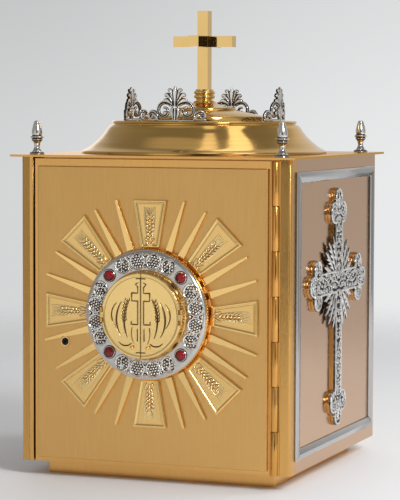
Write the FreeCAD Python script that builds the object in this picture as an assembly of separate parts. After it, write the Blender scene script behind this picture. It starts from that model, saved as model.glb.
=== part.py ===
"""Altar tabernacle with an exposition medallion in its door.

A square gilt cabinet on a low plinth. Its front is one door on a continuous hinge, and the door
carries a sunburst and a round medallion. Two half-discs close the medallion, and behind them a
luna (a round glass case) stands in a cradle. The roof carries a turned bell, a cap, a neck and a
cross with four arms, with four palmette crests round them and a finial at each corner. A
mitred frame and a trefoil cross are on each side.

Millimetres. The origin is the centre of the plinth's underside, +Z is up, the front is at -Y and
the door's hinge is at +X.
"""
import FreeCAD, Part
import math
import os

V = FreeCAD.Vector
X, Y, Z = V(1, 0, 0), V(0, 1, 0), V(0, 0, 1)

# ---- driving dimensions ----
SHEET = 2.0                 # thickness of the cabinet's sheet metal
BODY_HALF = 130.0           # half the body's width, and half its depth
PLINTH_HALF = 110.5
PLINTH_TOP = 13.0           # the body's underside
ROOF = 292.0                # underside of the top plate
TOP_HALF = 137.0            # half the top plate's width
TOP_T = 2.0

POST_DEPTH = 18.0           # how far a front post reaches back along the side
JAMB = 121.2                # the post's face towards the door, from the middle
POST_SLOPE = 2.9            # how far the post's front falls back towards the side
POST_ROUND = 2.2

HINGE_X, HINGE_Y = 116.7, -130.0
KNUCKLE_R, HINGE_PIN_R = 3.15, 1.25
HINGE_BORE_R = HINGE_PIN_R + 0.05
KNUCKLES = 7
KNUCKLE_GAP = 0.5
LEAF_FROM_AXIS, LEAF_T = 3.5, 1.0
LEAF_BACK = -118.5          # rear edge of the hinge's leaves
SCREW_R, SCREW_HEAD_R, SCREW_HEAD_T = 1.5, 2.4, 0.9
SCREW_Y = -123.6
HINGE_SCREWS = 6

DOOR_FRONT = -130.0
DOOR_LEFT, DOOR_RIGHT = -115.2, HINGE_X - LEAF_FROM_AXIS - LEAF_T
DOOR_LOW, DOOR_HIGH = 13.4, 290.8
DOOR_BACK = -118.0          # rear edge of the door pan's flanges
RAIL_FRONT, RAIL_T = -117.5, 2.0      # sill and header, which the door closes against
SILL_TOP, HEADER_LOW = 23.0, 280.0
STRIKE_RIGHT, STRIKE_BACK = -117.0, -118.5

PANEL_T = 3.0               # raised panel on the door
PANEL_LEFT, PANEL_RIGHT, PANEL_LOW, PANEL_HIGH = -111.0, 110.4, 17.5, 284.0
PANEL_FRONT = DOOR_FRONT - PANEL_T

MED_Z = 153.0               # height of the medallion's axis, which is at X = 0
RAY_T, RAY_START = 3.0, 59.4
WIDE_APEX, WIDE_SLOPE = 8.4, 0.171    # a wide ray's half-width is (r - apex) * slope
WIDE_SHORT, WIDE_LONG = 102.0, 107.0  # outer edges of the upright and of the diagonal rays
WIDE_BORDER, WIDE_RECESS = 1.9, 0.7
THIN_TIP, THIN_BASE_HALF, THIN_TIP_HALF = 106.5, 3.3, 0.9
THIN_ANGLES = (18.0, 30.0)            # from the next upright ray, and mirrored
LOCK_RAY, LOCK_RAY_ANGLE = 198.0, 194.8   # this ray is turned up a little to pass the lock

DRUM_R, DRUM_WALL, DRUM_FRONT = 59.0, 2.0, -143.5
RING_R_OUT, RING_R_IN, RING_T = 57.8, 39.3, 2.5
COLLAR_R_OUT, COLLAR_R_IN, COLLAR_FRONT = 38.5, 36.0, -154.8
GEM_CIRCLE, GEM_R, BEZEL_R, GEM_H = 48.5, 4.7, 6.1, 3.0

LEAF_DISC_R, LEAF_DISC_T, LEAF_DISC_BACK = 37.9, 1.4, -155.0
SPLIT = 0.2                 # half the gap between the two half-discs
PIVOT_X, PIVOT_Y = 38.2, -155.6
SMALL_KNUCKLE_R, SMALL_PIN_R = 1.5, 0.6
SMALL_BORE_R = SMALL_PIN_R + 0.05
SMALL_HALF, SMALL_GAP, LUG_HALF = 6.8, 0.4, 2.4
KNOB_X, KNOB_Z = 7.7, 125.0

LUNA_R, LUNA_LIP_R, LUNA_POCKET_R, PANE_R = 37.5, 32.5, 34.1, 33.9
LUNA_FRONT, LUNA_BACK, LUNA_LIP, PANE_T = -127.5, -118.0, 0.8, 1.3
CRADLE_R, CRADLE_BACK, CRADLE_LIP, CRADLE_LIP_R, CRADLE_ABOVE = 42.0, -116.2, 1.4, 33.5, 12.0

LOCK_X, LOCK_Z = -83.5, 124.8
LOCK_BARREL_R, LOCK_PLUG_R, LOCK_FRONT = 4.4, 3.4, -133.7
LOCK_GAP = 0.5              # between the barrel and the ray beside it
CAM_LENGTH, CAM_HALF, CAM_FRONT, CAM_T = 36.3, 4.0, -117.9, 1.6

FRAME_MID_Y, FRAME_HALF_Y = 3.0, 117.5
FRAME_LOW, FRAME_HIGH = 24.8, 280.8
FRAME_W, FRAME_H, FRAME_EDGE = 10.0, 3.2, 1.4

CROSS_Y, CROSS_Z = 1.0, 176.5         # crossing of the side crosses
CROSS_UP, CROSS_DOWN, CROSS_ARM = 86.7, 134.5, 84.0
BEAM_HALF, SHAFT_HALF = 10.6, 9.0
BACKING_T, CASTING_T, BACKING_GROW = 2.2, 2.3, 0.4

FINIAL_AT = 118.5
BELL_R, BELL_TOP = 116.0, 324.0
CAP_R, CAP_TOP = 58.0, 342.9
NECK_TOP = 354.1
CREST_AT, CREST_T = 75.0, 3.0     # a crest is bent round the bell on this radius
BAR = 10.4                  # side of the roof cross's square bars
ROOF_CROSS_TOP, ROOF_ARM, ROOF_ARM_Z = 427.8, 29.7, 398.9
BOLT_R, BOLT_HOLE_R, BOLT_HEAD_R, BOLT_HEAD_T, BOLT_INTO_CROSS = 3.0, 3.2, 6.0, 4.5, 10.0


# ---- shapes ----
def block(x0, x1, y0, y1, z0, z1):
    return Part.makeBox(x1 - x0, y1 - y0, z1 - z0, V(x0, y0, z0))


def rod(radius, start, axis, length):
    return Part.makeCylinder(radius, length, start, axis)


def tube(outer, inner, start, axis, length):
    return rod(outer, start, axis, length).cut(rod(inner, start, axis, length))


def join(shapes):
    first = shapes[0]
    return first.fuse(shapes[1:]).removeSplitter() if len(shapes) > 1 else first


def prism(points, along):
    return Part.Face(Part.makePolygon(points + [points[0]])).extrude(along)


def turned(steps, base, axis, out):
    """A solid of revolution. steps: (r, h) points; a list inside it is one smooth curve."""
    def place(p):
        return base + out * p[0] + axis * p[1]
    edges, last = [], place(steps[0])
    for step in steps[1:] + steps[:1]:
        if isinstance(step, list):
            curve = Part.BSplineCurve()
            curve.interpolate([last] + [place(p) for p in step])
            edges.append(curve.toShape())
            last = place(step[-1])
        elif place(step).distanceToPoint(last) > 1e-6:
            edges.append(Part.LineSegment(last, place(step)).toShape())
            last = place(step)
    return Part.Face(Part.Wire(edges)).revolve(base, axis, 360)


def lens(start, end, half_width, depth):
    """A leaf outline of two arcs between start and end, extruded by the vector depth."""
    along = end - start
    side = along.cross(depth)
    side.normalize()
    middle = start + along * 0.5
    edges = [Part.Arc(start, middle + side * half_width, end).toShape(),
             Part.Arc(end, middle - side * half_width, start).toShape()]
    return Part.Face(Part.Wire(edges)).extrude(depth)


def mirrored(shape):
    return shape.mirror(V(0, 0, 0), X)


def about_medallion(x, y, z):
    """A point given from the medallion's axis."""
    return V(x, y, MED_Z + z)


# ---- cabinet ----
def cabinet():
    inner = BODY_HALF - SHEET
    post_back = -BODY_HALF + POST_DEPTH
    plinth = block(-PLINTH_HALF, PLINTH_HALF, -PLINTH_HALF, PLINTH_HALF, 0, PLINTH_TOP)
    hollow = PLINTH_HALF - SHEET
    plinth = plinth.cut(block(-hollow, hollow, -hollow, hollow, SHEET, PLINTH_TOP + 1))

    floor = join([block(-inner, inner, post_back, inner, PLINTH_TOP, PLINTH_TOP + SHEET),
                  block(-JAMB, JAMB, RAIL_FRONT, post_back, PLINTH_TOP, PLINTH_TOP + SHEET)])
    rail_back = RAIL_FRONT + RAIL_T
    side = block(inner, BODY_HALF, post_back, BODY_HALF, PLINTH_TOP, ROOF)
    post = front_post()
    strike = block(-JAMB, STRIKE_RIGHT, DOOR_FRONT, STRIKE_BACK, PLINTH_TOP, ROOF)
    strike = strike.makeFillet(0.6, [e for e in strike.Edges if e.BoundBox.ZLength > 100
                                     and e.BoundBox.YMax < DOOR_FRONT + 0.1])
    board = block(-inner + 0.5, inner - 0.5, post_back + 0.5, inner - 0.5,
                  PLINTH_TOP + SHEET, PLINTH_TOP + SHEET + 3.0)
    top = block(-TOP_HALF, TOP_HALF, -TOP_HALF, TOP_HALF, ROOF, ROOF + TOP_T)
    top = top.cut(rod(BOLT_HOLE_R, V(0, 0, ROOF - 1), Z, TOP_T + 2))
    for sx, sy in corners():
        top = top.cut(rod(1.8, V(sx * FINIAL_AT, sy * FINIAL_AT, ROOF - 1), Z, TOP_T + 2))
    return {
        "plinth": plinth,
        "floor_plate": floor,
        "door_sill": block(-JAMB, JAMB, RAIL_FRONT, rail_back, PLINTH_TOP + SHEET, SILL_TOP),
        "door_header": block(-JAMB, JAMB, RAIL_FRONT, rail_back, HEADER_LOW, ROOF),
        "side_panel_right": side,
        "side_panel_left": mirrored(side),
        "back_panel": block(-inner, inner, inner, BODY_HALF, PLINTH_TOP, ROOF),
        "front_post_right": post.cut(hinge_screw_holes(JAMB - 1, 1)),
        "front_post_left": mirrored(post),
        "strike_rail": strike,
        "interior_board": board,
        "top_plate": top,
    }


def corners():
    return [(sx, sy) for sx in (-1, 1) for sy in (-1, 1)]


def front_post():
    """Folded sheet: jamb, sloping front, rounded corner and a strip of the side."""
    back = -BODY_HALF + POST_DEPTH
    turn = BODY_HALF - POST_ROUND
    slope_end = V(turn, DOOR_FRONT + POST_SLOPE, 0)
    side_start = V(BODY_HALF, DOOR_FRONT + POST_SLOPE + POST_ROUND, 0)
    bulge = V(BODY_HALF - POST_ROUND * 0.26, DOOR_FRONT + POST_SLOPE + POST_ROUND * 0.35, 0)
    jamb_front = V(JAMB, DOOR_FRONT, 0)
    edges = [Part.LineSegment(V(JAMB, back, 0), jamb_front).toShape(),
             Part.LineSegment(jamb_front, slope_end).toShape(),
             Part.Arc(slope_end, bulge, side_start).toShape(),
             Part.LineSegment(side_start, V(BODY_HALF, back, 0)).toShape(),
             Part.LineSegment(V(BODY_HALF, back, 0), V(JAMB, back, 0)).toShape()]
    outside = Part.Face(Part.Wire(edges)).extrude(Z * (ROOF - PLINTH_TOP))
    inner_x, side_x = JAMB + SHEET, BODY_HALF - SHEET
    fold = [V(inner_x, back, 0), V(inner_x, DOOR_FRONT + SHEET * 1.4, 0),
            V(turn - 0.4, DOOR_FRONT + POST_SLOPE + SHEET, 0),
            V(side_x, DOOR_FRONT + POST_SLOPE + SHEET * 1.2, 0), V(side_x, back, 0)]
    post = outside.cut(prism(fold, Z * (ROOF - PLINTH_TOP)))
    post.translate(Z * PLINTH_TOP)
    return post


# ---- hinge ----
def knuckle_spans():
    low, high = PLINTH_TOP + 0.4, ROOF - 0.9
    pitch = (high - low) / KNUCKLES
    half_gap = KNUCKLE_GAP / 2
    return [(low + i * pitch + half_gap, low + (i + 1) * pitch - half_gap)
            for i in range(KNUCKLES)]


def hinge_screw_heights():
    pitch = (ROOF - PLINTH_TOP) / HINGE_SCREWS
    return [PLINTH_TOP + pitch * (i + 0.5) for i in range(HINGE_SCREWS)]


def hinge_screw_holes(x, towards, length=4.0):
    return join([rod(SCREW_R + 0.1, V(x, SCREW_Y, z), X * towards, length)
                 for z in hinge_screw_heights()])


def hinge_leaf(side, first):
    """side 1 is the cabinet's leaf and -1 the door's; first is its lowest knuckle."""
    near = HINGE_X + side * LEAF_FROM_AXIS
    far = near + side * LEAF_T
    x0, x1 = min(near, far), max(near, far)
    spans = knuckle_spans()
    parts = [block(x0, x1, HINGE_Y, LEAF_BACK, spans[0][0], spans[-1][1])]
    for low, high in spans[first::2]:
        wing = sorted((HINGE_X, near))
        parts.append(rod(KNUCKLE_R, V(HINGE_X, HINGE_Y, low), Z, high - low))
        parts.append(block(wing[0], wing[1], HINGE_Y, HINGE_Y + 1.6, low, high))
    leaf = join(parts)
    leaf = leaf.cut(rod(HINGE_BORE_R, V(HINGE_X, HINGE_Y, 0), Z, ROOF))
    return leaf.cut(hinge_screw_holes(near - side, side))


def hinge_screws(side):
    """Pan-head screws whose heads rest on the leaf and whose shanks go through to the sheet."""
    near = HINGE_X + side * LEAF_FROM_AXIS
    made = []
    for z in hinge_screw_heights():
        head = rod(SCREW_HEAD_R, V(near, SCREW_Y, z), X * -side, SCREW_HEAD_T)
        shank = rod(SCREW_R, V(near, SCREW_Y, z), X * side, LEAF_T + SHEET)
        made.append(join([head, shank]))
    return Part.makeCompound(made)


def hinge():
    spans = knuckle_spans()
    length = spans[-1][1] - spans[0][0]
    return {
        "hinge_leaf_body": hinge_leaf(1, 0),
        "hinge_leaf_door": hinge_leaf(-1, 1),
        "hinge_pin": rod(HINGE_PIN_R, V(HINGE_X, HINGE_Y, spans[0][0]), Z, length),
        "hinge_screws_body": hinge_screws(1),
        "hinge_screws_door": hinge_screws(-1),
    }


# ---- door ----
def door():
    pan = block(DOOR_LEFT, DOOR_RIGHT, DOOR_FRONT, DOOR_BACK, DOOR_LOW, DOOR_HIGH)
    pan = pan.cut(block(DOOR_LEFT + SHEET, DOOR_RIGHT - SHEET, DOOR_FRONT + SHEET, DOOR_BACK + 1,
                        DOOR_LOW + SHEET, DOOR_HIGH - SHEET))
    holes = join([rod(COLLAR_R_OUT + 0.2, about_medallion(0, -140, 0), Y, 20),
                  rod(LOCK_BARREL_R + 0.1, V(LOCK_X, -140, LOCK_Z), Y, 20)])
    pan = pan.cut(holes).cut(hinge_screw_holes(DOOR_RIGHT + 1, -1))
    panel = block(PANEL_LEFT, PANEL_RIGHT, PANEL_FRONT, DOOR_FRONT, PANEL_LOW, PANEL_HIGH)
    rim = [e for e in panel.Edges if e.BoundBox.YMax < PANEL_FRONT + 0.1]
    panel = panel.makeChamfer(0.6, rim).cut(holes)
    return {
        "door_pan": pan,
        "door_face_panel": panel,
        "sunburst_wide_rays": Part.makeCompound([wide_ray(k) for k in range(8)]),
        "sunburst_thin_rays": Part.makeCompound([thin_ray(a) for a in thin_ray_angles()]),
    }


def on_door(radius, offset, angle, y):
    """A point at a radius and a sideways offset from a ray's line."""
    a = math.radians(angle)
    return about_medallion(radius * math.cos(a) - offset * math.sin(a), y,
                           radius * math.sin(a) + offset * math.cos(a))


def wide_ray(k):
    angle = 45.0 * k
    end = WIDE_LONG if k % 2 else WIDE_SHORT

    def outline(r0, r1, inset, y):
        h0 = (r0 - WIDE_APEX) * WIDE_SLOPE - inset
        h1 = (r1 - WIDE_APEX) * WIDE_SLOPE - inset
        return [on_door(r, h, angle, y) for r, h in ((r0, -h0), (r1, -h1), (r1, h1), (r0, h0))]
    plate = prism(outline(RAY_START, end, 0, PANEL_FRONT), Y * -RAY_T)
    field = outline(RAY_START + WIDE_BORDER, end - WIDE_BORDER, WIDE_BORDER,
                    PANEL_FRONT - RAY_T + WIDE_RECESS)
    return plate.cut(prism(field, Y * -(WIDE_RECESS + 1)))


def thin_ray_angles():
    angles = []
    for quarter in range(4):
        for offset in THIN_ANGLES:
            angles += [quarter * 90.0 + offset, quarter * 90.0 + 90.0 - offset]
    return [LOCK_RAY_ANGLE if abs(a - LOCK_RAY) < 0.1 else a for a in sorted(angles)]


def thin_ray(angle):
    corners_at = ((RAY_START, -THIN_BASE_HALF), (THIN_TIP, -THIN_TIP_HALF),
                  (THIN_TIP, THIN_TIP_HALF), (RAY_START, THIN_BASE_HALF))
    ray = prism([on_door(r, h, angle, PANEL_FRONT) for r, h in corners_at], Y * -RAY_T)
    if angle == LOCK_RAY_ANGLE:
        lock_room = rod(LOCK_BARREL_R + LOCK_GAP, V(LOCK_X, DOOR_FRONT, LOCK_Z), -Y, 10)
        ray = ray.cut(lock_room)
    return ray


# ---- medallion ----
def medallion():
    front = about_medallion(0, DRUM_FRONT, 0)
    drum = rod(DRUM_R, front, Y, PANEL_FRONT - DRUM_FRONT)
    hollow = rod(DRUM_R - DRUM_WALL, front + Y * DRUM_WALL, Y, 20)
    drum = drum.cut(hollow).cut(rod(COLLAR_R_OUT + 0.2, front - Y, Y, 20))
    ring = tube(RING_R_OUT, RING_R_IN, front, -Y, RING_T)
    outer_edge = [e for e in ring.Edges if abs(e.BoundBox.XMax - RING_R_OUT) < 0.1
                  and e.BoundBox.YMax < DRUM_FRONT - RING_T + 0.1]
    ring = ring.makeChamfer(1.2, outer_edge)
    gem_base = DRUM_FRONT - RING_T
    bezels, gems = [], []
    for k in range(4):
        seat = on_door(GEM_CIRCLE, 0, 45.0 + 90.0 * k, gem_base)
        bezels.append(tube(BEZEL_R, GEM_R + 0.1, seat, -Y, 1.6))
        gems.append(turned([(0, 0), (GEM_R, 0), (GEM_R, 1.2),
                            [(GEM_R * 0.78, GEM_H * 0.78), (0, GEM_H)]], seat, -Y, X))
    return {
        "medallion_drum": drum,
        "medallion_ring": ring,
        "medallion_collar": collar(),
        "cabochon_settings": Part.makeCompound(bezels),
        "cabochons": Part.makeCompound(gems),
        "half_door_pins": Part.makeCompound([small_pin(-1), small_pin(1)]),
    }


def collar():
    """Tube through the door, with a stop at its top and bottom and half-disc hinges at its sides."""
    back = DOOR_FRONT + SHEET
    body = tube(COLLAR_R_OUT, COLLAR_R_IN, about_medallion(0, COLLAR_FRONT, 0), Y,
                back - COLLAR_FRONT)
    stops = [block(-4, 4, COLLAR_FRONT, COLLAR_FRONT + 1.2, MED_Z + s, MED_Z + s + 3.6)
             for s in (COLLAR_R_IN - 3.2, -COLLAR_R_IN - 0.4)]
    lugs = []
    for side in (-1, 1):
        for low in (-SMALL_HALF, LUG_HALF + SMALL_GAP):
            length = SMALL_HALF - LUG_HALF - SMALL_GAP
            at = about_medallion(side * PIVOT_X, PIVOT_Y, low)
            lugs.append(rod(SMALL_KNUCKLE_R, at, Z, length))
            wing = sorted((side * (PIVOT_X - 1.3), side * (PIVOT_X + 1.3)))
            lugs.append(block(wing[0], wing[1], PIVOT_Y, COLLAR_FRONT + 0.8,
                              MED_Z + low, MED_Z + low + length))
    body = join([body] + stops + lugs)
    for side in (-1, 1):
        pocket = sorted((side * (PIVOT_X - 2.4), side * (PIVOT_X + 3)))
        reach = LUG_HALF + SMALL_GAP / 2
        body = body.cut(block(pocket[0], pocket[1], PIVOT_Y - 3, COLLAR_FRONT + 1.3,
                              MED_Z - reach, MED_Z + reach))
        body = body.cut(rod(SMALL_BORE_R, about_medallion(side * PIVOT_X, PIVOT_Y, -20), Z, 40))
    return body


def small_pin(side):
    return rod(SMALL_PIN_R, about_medallion(side * PIVOT_X, PIVOT_Y, -SMALL_HALF), Z, 2 * SMALL_HALF)


def half_door():
    """The right-hand half-disc with its knuckle."""
    front = about_medallion(0, LEAF_DISC_BACK, 0)
    disc = rod(LEAF_DISC_R, front, -Y, LEAF_DISC_T)
    face = LEAF_DISC_BACK - LEAF_DISC_T
    disc = disc.common(block(SPLIT, 50, face - 1, LEAF_DISC_BACK + 1, 0, 300))
    notch = SMALL_HALF + SMALL_GAP
    disc = disc.cut(block(PIVOT_X - 2.2, 50, face - 1, LEAF_DISC_BACK + 1,
                          MED_Z - notch, MED_Z + notch))
    lug = block(PIVOT_X - 3, PIVOT_X, face, LEAF_DISC_BACK, MED_Z - LUG_HALF, MED_Z + LUG_HALF)
    barrel = rod(SMALL_KNUCKLE_R, about_medallion(PIVOT_X, PIVOT_Y, -LUG_HALF), Z, 2 * LUG_HALF)
    whole = join([disc, lug, barrel])
    return whole.cut(rod(SMALL_BORE_R, about_medallion(PIVOT_X, PIVOT_Y, -20), Z, 40))


def knob():
    base = V(KNOB_X, LEAF_DISC_BACK - LEAF_DISC_T, KNOB_Z)
    profile = [(0, 0), (1.5, 0), (1.5, 0.5), (0.9, 0.8), (0.9, 1.5),
               [(1.7, 2.5), (1.2, 3.5), (0, 3.8)]]
    return turned(profile, base, -Y, X)


def half_doors():
    return {
        "half_door_right": half_door(),
        "half_door_left": mirrored(half_door()),
        "knob_right": knob(),
        "knob_left": mirrored(knob()),
    }


# ---- luna ----
def luna():
    thickness = LUNA_BACK - LUNA_FRONT
    ring = tube(LUNA_R, LUNA_LIP_R, about_medallion(0, LUNA_FRONT, 0), Y, thickness)
    ring = ring.cut(rod(LUNA_POCKET_R, about_medallion(0, LUNA_FRONT + LUNA_LIP, 0), Y,
                        thickness - 2 * LUNA_LIP))
    panes = [rod(PANE_R, about_medallion(0, y, 0), Y, PANE_T)
             for y in (LUNA_FRONT + LUNA_LIP, LUNA_BACK - LUNA_LIP - PANE_T)]
    return {"luna_ring": ring, "luna_glass": Part.makeCompound(panes), "luna_cradle": cradle()}


def u_shape(radius, top, y0, y1):
    """A half-round trough with straight sides up to a height above the medallion's axis."""
    low = rod(radius, about_medallion(0, y0, 0), Y, y1 - y0)
    low = low.common(block(-radius, radius, y0, y1, MED_Z - radius, MED_Z))
    return join([low, block(-radius, radius, y0, y1, MED_Z, MED_Z + top)])


def cradle():
    front = DOOR_FRONT + SHEET
    outside = u_shape(CRADLE_R, CRADLE_ABOVE, front, CRADLE_BACK)
    pocket = u_shape(LUNA_R + 0.4, CRADLE_ABOVE + 5, front - 1, CRADLE_BACK - CRADLE_LIP)
    window = u_shape(CRADLE_LIP_R, CRADLE_ABOVE + 5, front - 1, CRADLE_BACK + 1)
    return outside.cut(pocket).cut(window)


# ---- lock ----
def lock():
    start = V(LOCK_X, LOCK_FRONT, LOCK_Z)
    barrel = tube(LOCK_BARREL_R, LOCK_PLUG_R + 0.05, start, Y, DOOR_BACK - LOCK_FRONT - 1)
    plug = rod(LOCK_PLUG_R, start + Y * 0.3, Y, CAM_FRONT - LOCK_FRONT - 0.3)
    keyway = block(-0.55, 0.55, LOCK_FRONT, LOCK_FRONT + 6, -2.3, 2.3)
    keyway.rotate(V(0, 0, 0), Y, 40)
    keyway.translate(V(LOCK_X, 0, LOCK_Z))
    tip = V(LOCK_X, CAM_FRONT, LOCK_Z - CAM_LENGTH + CAM_HALF)
    cam = join([rod(CAM_HALF + 1.2, V(LOCK_X, CAM_FRONT, LOCK_Z), Y, CAM_T),
                rod(CAM_HALF, tip, Y, CAM_T),
                block(LOCK_X - CAM_HALF, LOCK_X + CAM_HALF, CAM_FRONT, CAM_FRONT + CAM_T,
                      tip.z, LOCK_Z)])
    nut_points = [V(LOCK_X + 8 * math.cos(math.radians(60 * k)), DOOR_FRONT + SHEET,
                    LOCK_Z + 8 * math.sin(math.radians(60 * k))) for k in range(6)]
    nut = prism(nut_points, Y * 3).cut(rod(LOCK_BARREL_R + 0.1, start, Y, 20))
    return {"lock_barrel": barrel, "lock_plug": plug.cut(keyway), "lock_cam": cam, "lock_nut": nut}


# ---- sides ----
def frame_member(start, end, inward):
    """One mitred length. start and end are its outer corners (y, z); inward points to the middle."""
    x0 = BODY_HALF
    a, b = V(x0, *start), V(x0, *end)
    n = V(0, *inward)
    foot, crown = a, a + X * FRAME_EDGE
    far_foot = a + n * FRAME_W
    far_crown = far_foot + X * FRAME_EDGE
    top = a + n * (FRAME_W / 2) + X * FRAME_H
    edges = [Part.LineSegment(foot, crown).toShape(),
             Part.Arc(crown, top, far_crown).toShape(),
             Part.LineSegment(far_crown, far_foot).toShape(),
             Part.LineSegment(far_foot, foot).toShape()]
    bar = Part.Face(Part.Wire(edges)).extrude(b - a)
    along = (b - a).normalize()
    mitre = [a, b, b + (n - along) * FRAME_W, a + (n + along) * FRAME_W]
    return bar.common(prism(mitre, X * FRAME_H))


def trefoil(at, direction, across, depth, grow):
    """Three lobes at the end of a beam; direction points outwards."""
    lobes = [(-10.0, 0, 10.0), (-22.5, 12.5, 10.6), (-22.5, -12.5, 10.6), (-20.0, 0, 11.0)]
    return [rod(r + grow, at + direction * d + across * s, X, depth) for d, s, r in lobes]


def trefoil_cross(x, depth, grow, leaves):
    middle = V(x, CROSS_Y, CROSS_Z)
    beam, shaft = BEAM_HALF + grow, SHAFT_HALF + grow
    parts = [
        block(x, x + depth, CROSS_Y - beam, CROSS_Y + beam, CROSS_Z, CROSS_Z + CROSS_UP - 15),
        block(x, x + depth, CROSS_Y - shaft, CROSS_Y + shaft, CROSS_Z - CROSS_DOWN + 15, CROSS_Z),
        block(x, x + depth, CROSS_Y - CROSS_ARM + 15, CROSS_Y + CROSS_ARM - 15,
              CROSS_Z - beam, CROSS_Z + beam),
    ]
    for direction, across, reach in ((Z, Y, CROSS_UP), (-Z, Y, CROSS_DOWN),
                                     (Y, Z, CROSS_ARM), (-Y, Z, CROSS_ARM)):
        parts += trefoil(middle + direction * reach, direction, across, depth, grow)
    if leaves:
        for quadrant in range(4):
            for angle, reach in ((20, 46), (36, 44), (54, 44), (70, 46)):
                a = math.radians(90 * quadrant + angle)
                ray = V(0, math.cos(a), math.sin(a))
                parts.append(lens(middle + ray * 8, middle + ray * reach, 4.2, X * depth))
    return join(parts)


def sides():
    y0, y1 = FRAME_MID_Y - FRAME_HALF_Y, FRAME_MID_Y + FRAME_HALF_Y
    members = {
        "front": ((y0, FRAME_LOW), (y0, FRAME_HIGH), (1, 0)),
        "rear": ((y1, FRAME_LOW), (y1, FRAME_HIGH), (-1, 0)),
        "top": ((y0, FRAME_HIGH), (y1, FRAME_HIGH), (0, -1)),
        "bottom": ((y0, FRAME_LOW), (y1, FRAME_LOW), (0, 1)),
    }
    made = {}
    for name, (start, end, inward) in members.items():
        member = frame_member(start, end, inward)
        made["side_frame_right_" + name] = member
        made["side_frame_left_" + name] = mirrored(member)
    backing = trefoil_cross(BODY_HALF, BACKING_T, BACKING_GROW, False)
    casting = trefoil_cross(BODY_HALF + BACKING_T, CASTING_T, 0, True)
    made["side_cross_backing_right"], made["side_cross_backing_left"] = backing, mirrored(backing)
    made["side_cross_right"], made["side_cross_left"] = casting, mirrored(casting)
    return made


# ---- roof ----
def roof():
    plate = ROOF + TOP_T
    base = V(0, 0, plate)
    step = BELL_TOP - plate
    flare = [(114.6, 2.9), (108.8, 5.8), (102.8, 10.6), (97.8, 15.2), (94.2, 19.6), (91.2, 24.0),
             (89.0, 26.4)]
    inner_flare = [(89.6, 22.6), (95.6, 15.6), (101.0, 10.2), (107.0, 5.2), (112.6, 2.2)]
    bell = turned([(BELL_R - 1.6, 0), (BELL_R, 0), (BELL_R, 2.0), flare, (86.6, 26.8), (86.6, 27.8),
                   [(87.6, 29.2), (86.2, 30.5), (84.6, step)], (BOLT_HOLE_R, step),
                   (BOLT_HOLE_R, step - 1.6), (84.9, step - 1.6), (84.9, 25.2), inner_flare],
                  base, Z, X)
    cap_base = V(0, 0, BELL_TOP)
    cap_h = CAP_TOP - BELL_TOP
    cap = turned([(CAP_R - 1.6, 0), (CAP_R, 0), (CAP_R, 4.2), (CAP_R - 0.8, 5.0), (30.2, 10.6),
                  (30.2, 12.2), (29.4, 13.0), [(20.0, 14.4), (12.5, 16.6), (10.0, cap_h)],
                  (BOLT_HOLE_R, cap_h), (BOLT_HOLE_R, cap_h - 3),
                  [(11.0, 14.2), (20.0, 12.2), (29.0, 9.0)], (CAP_R - 1.6, 3.4)],
                 cap_base, Z, X)
    neck_h = NECK_TOP - CAP_TOP
    neck = turned([(BOLT_HOLE_R, 0), (9.0, 0), [(8.0, 1.2), (8.4, 2.4)],
                   [(10.2, 4.4), (8.8, 6.3)], [(10.2, 8.2), (8.8, 10.2)], (8.8, neck_h),
                   (BOLT_HOLE_R, neck_h)], V(0, 0, CAP_TOP), Z, X)
    half = BAR / 2
    cross = join([block(-half, half, -half, half, NECK_TOP, ROOF_CROSS_TOP),
                  block(-ROOF_ARM, ROOF_ARM, -half, half, ROOF_ARM_Z - half, ROOF_ARM_Z + half),
                  block(-half, half, -ROOF_ARM, ROOF_ARM, ROOF_ARM_Z - half, ROOF_ARM_Z + half)])
    cross = cross.cut(rod(BOLT_R + 0.1, V(0, 0, NECK_TOP - 1), Z, BOLT_INTO_CROSS + 2))
    bolt = join([rod(BOLT_HEAD_R, V(0, 0, ROOF - BOLT_HEAD_T), Z, BOLT_HEAD_T),
                 rod(BOLT_R, V(0, 0, ROOF), Z, NECK_TOP - ROOF + BOLT_INTO_CROSS)])
    made = {"dome_bell": bell, "dome_cap": cap, "neck_collar": neck, "roof_cross": cross,
            "tie_bolt": bolt,
            "corner_finials": Part.makeCompound([finial(sx, sy) for sx, sy in corners()])}
    crest = palmette()
    for name, turn in (("front", 0), ("right", 90), ("back", 180), ("left", 270)):
        placed = crest.copy()
        placed.rotate(V(0, 0, 0), Z, turn)
        made["crest_" + name] = placed
    return made


def finial(sx, sy):
    profile = [(0, -TOP_T), (1.7, -TOP_T), (1.7, 0), (7.0, 0), (7.0, 1.2),
               [(4.0, 3.4), (2.7, 7.5), (3.4, 11.0), (4.6, 12.4)], [(5.0, 13.2), (4.4, 14.0)],
               [(6.2, 15.5), (4.4, 17.0)], [(4.8, 19.5), (4.2, 24.0), (3.2, 28.0), (0, 31.0)]]
    return turned(profile, V(sx * FINIAL_AT, sy * FINIAL_AT, ROOF + TOP_T), Z, X)


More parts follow.
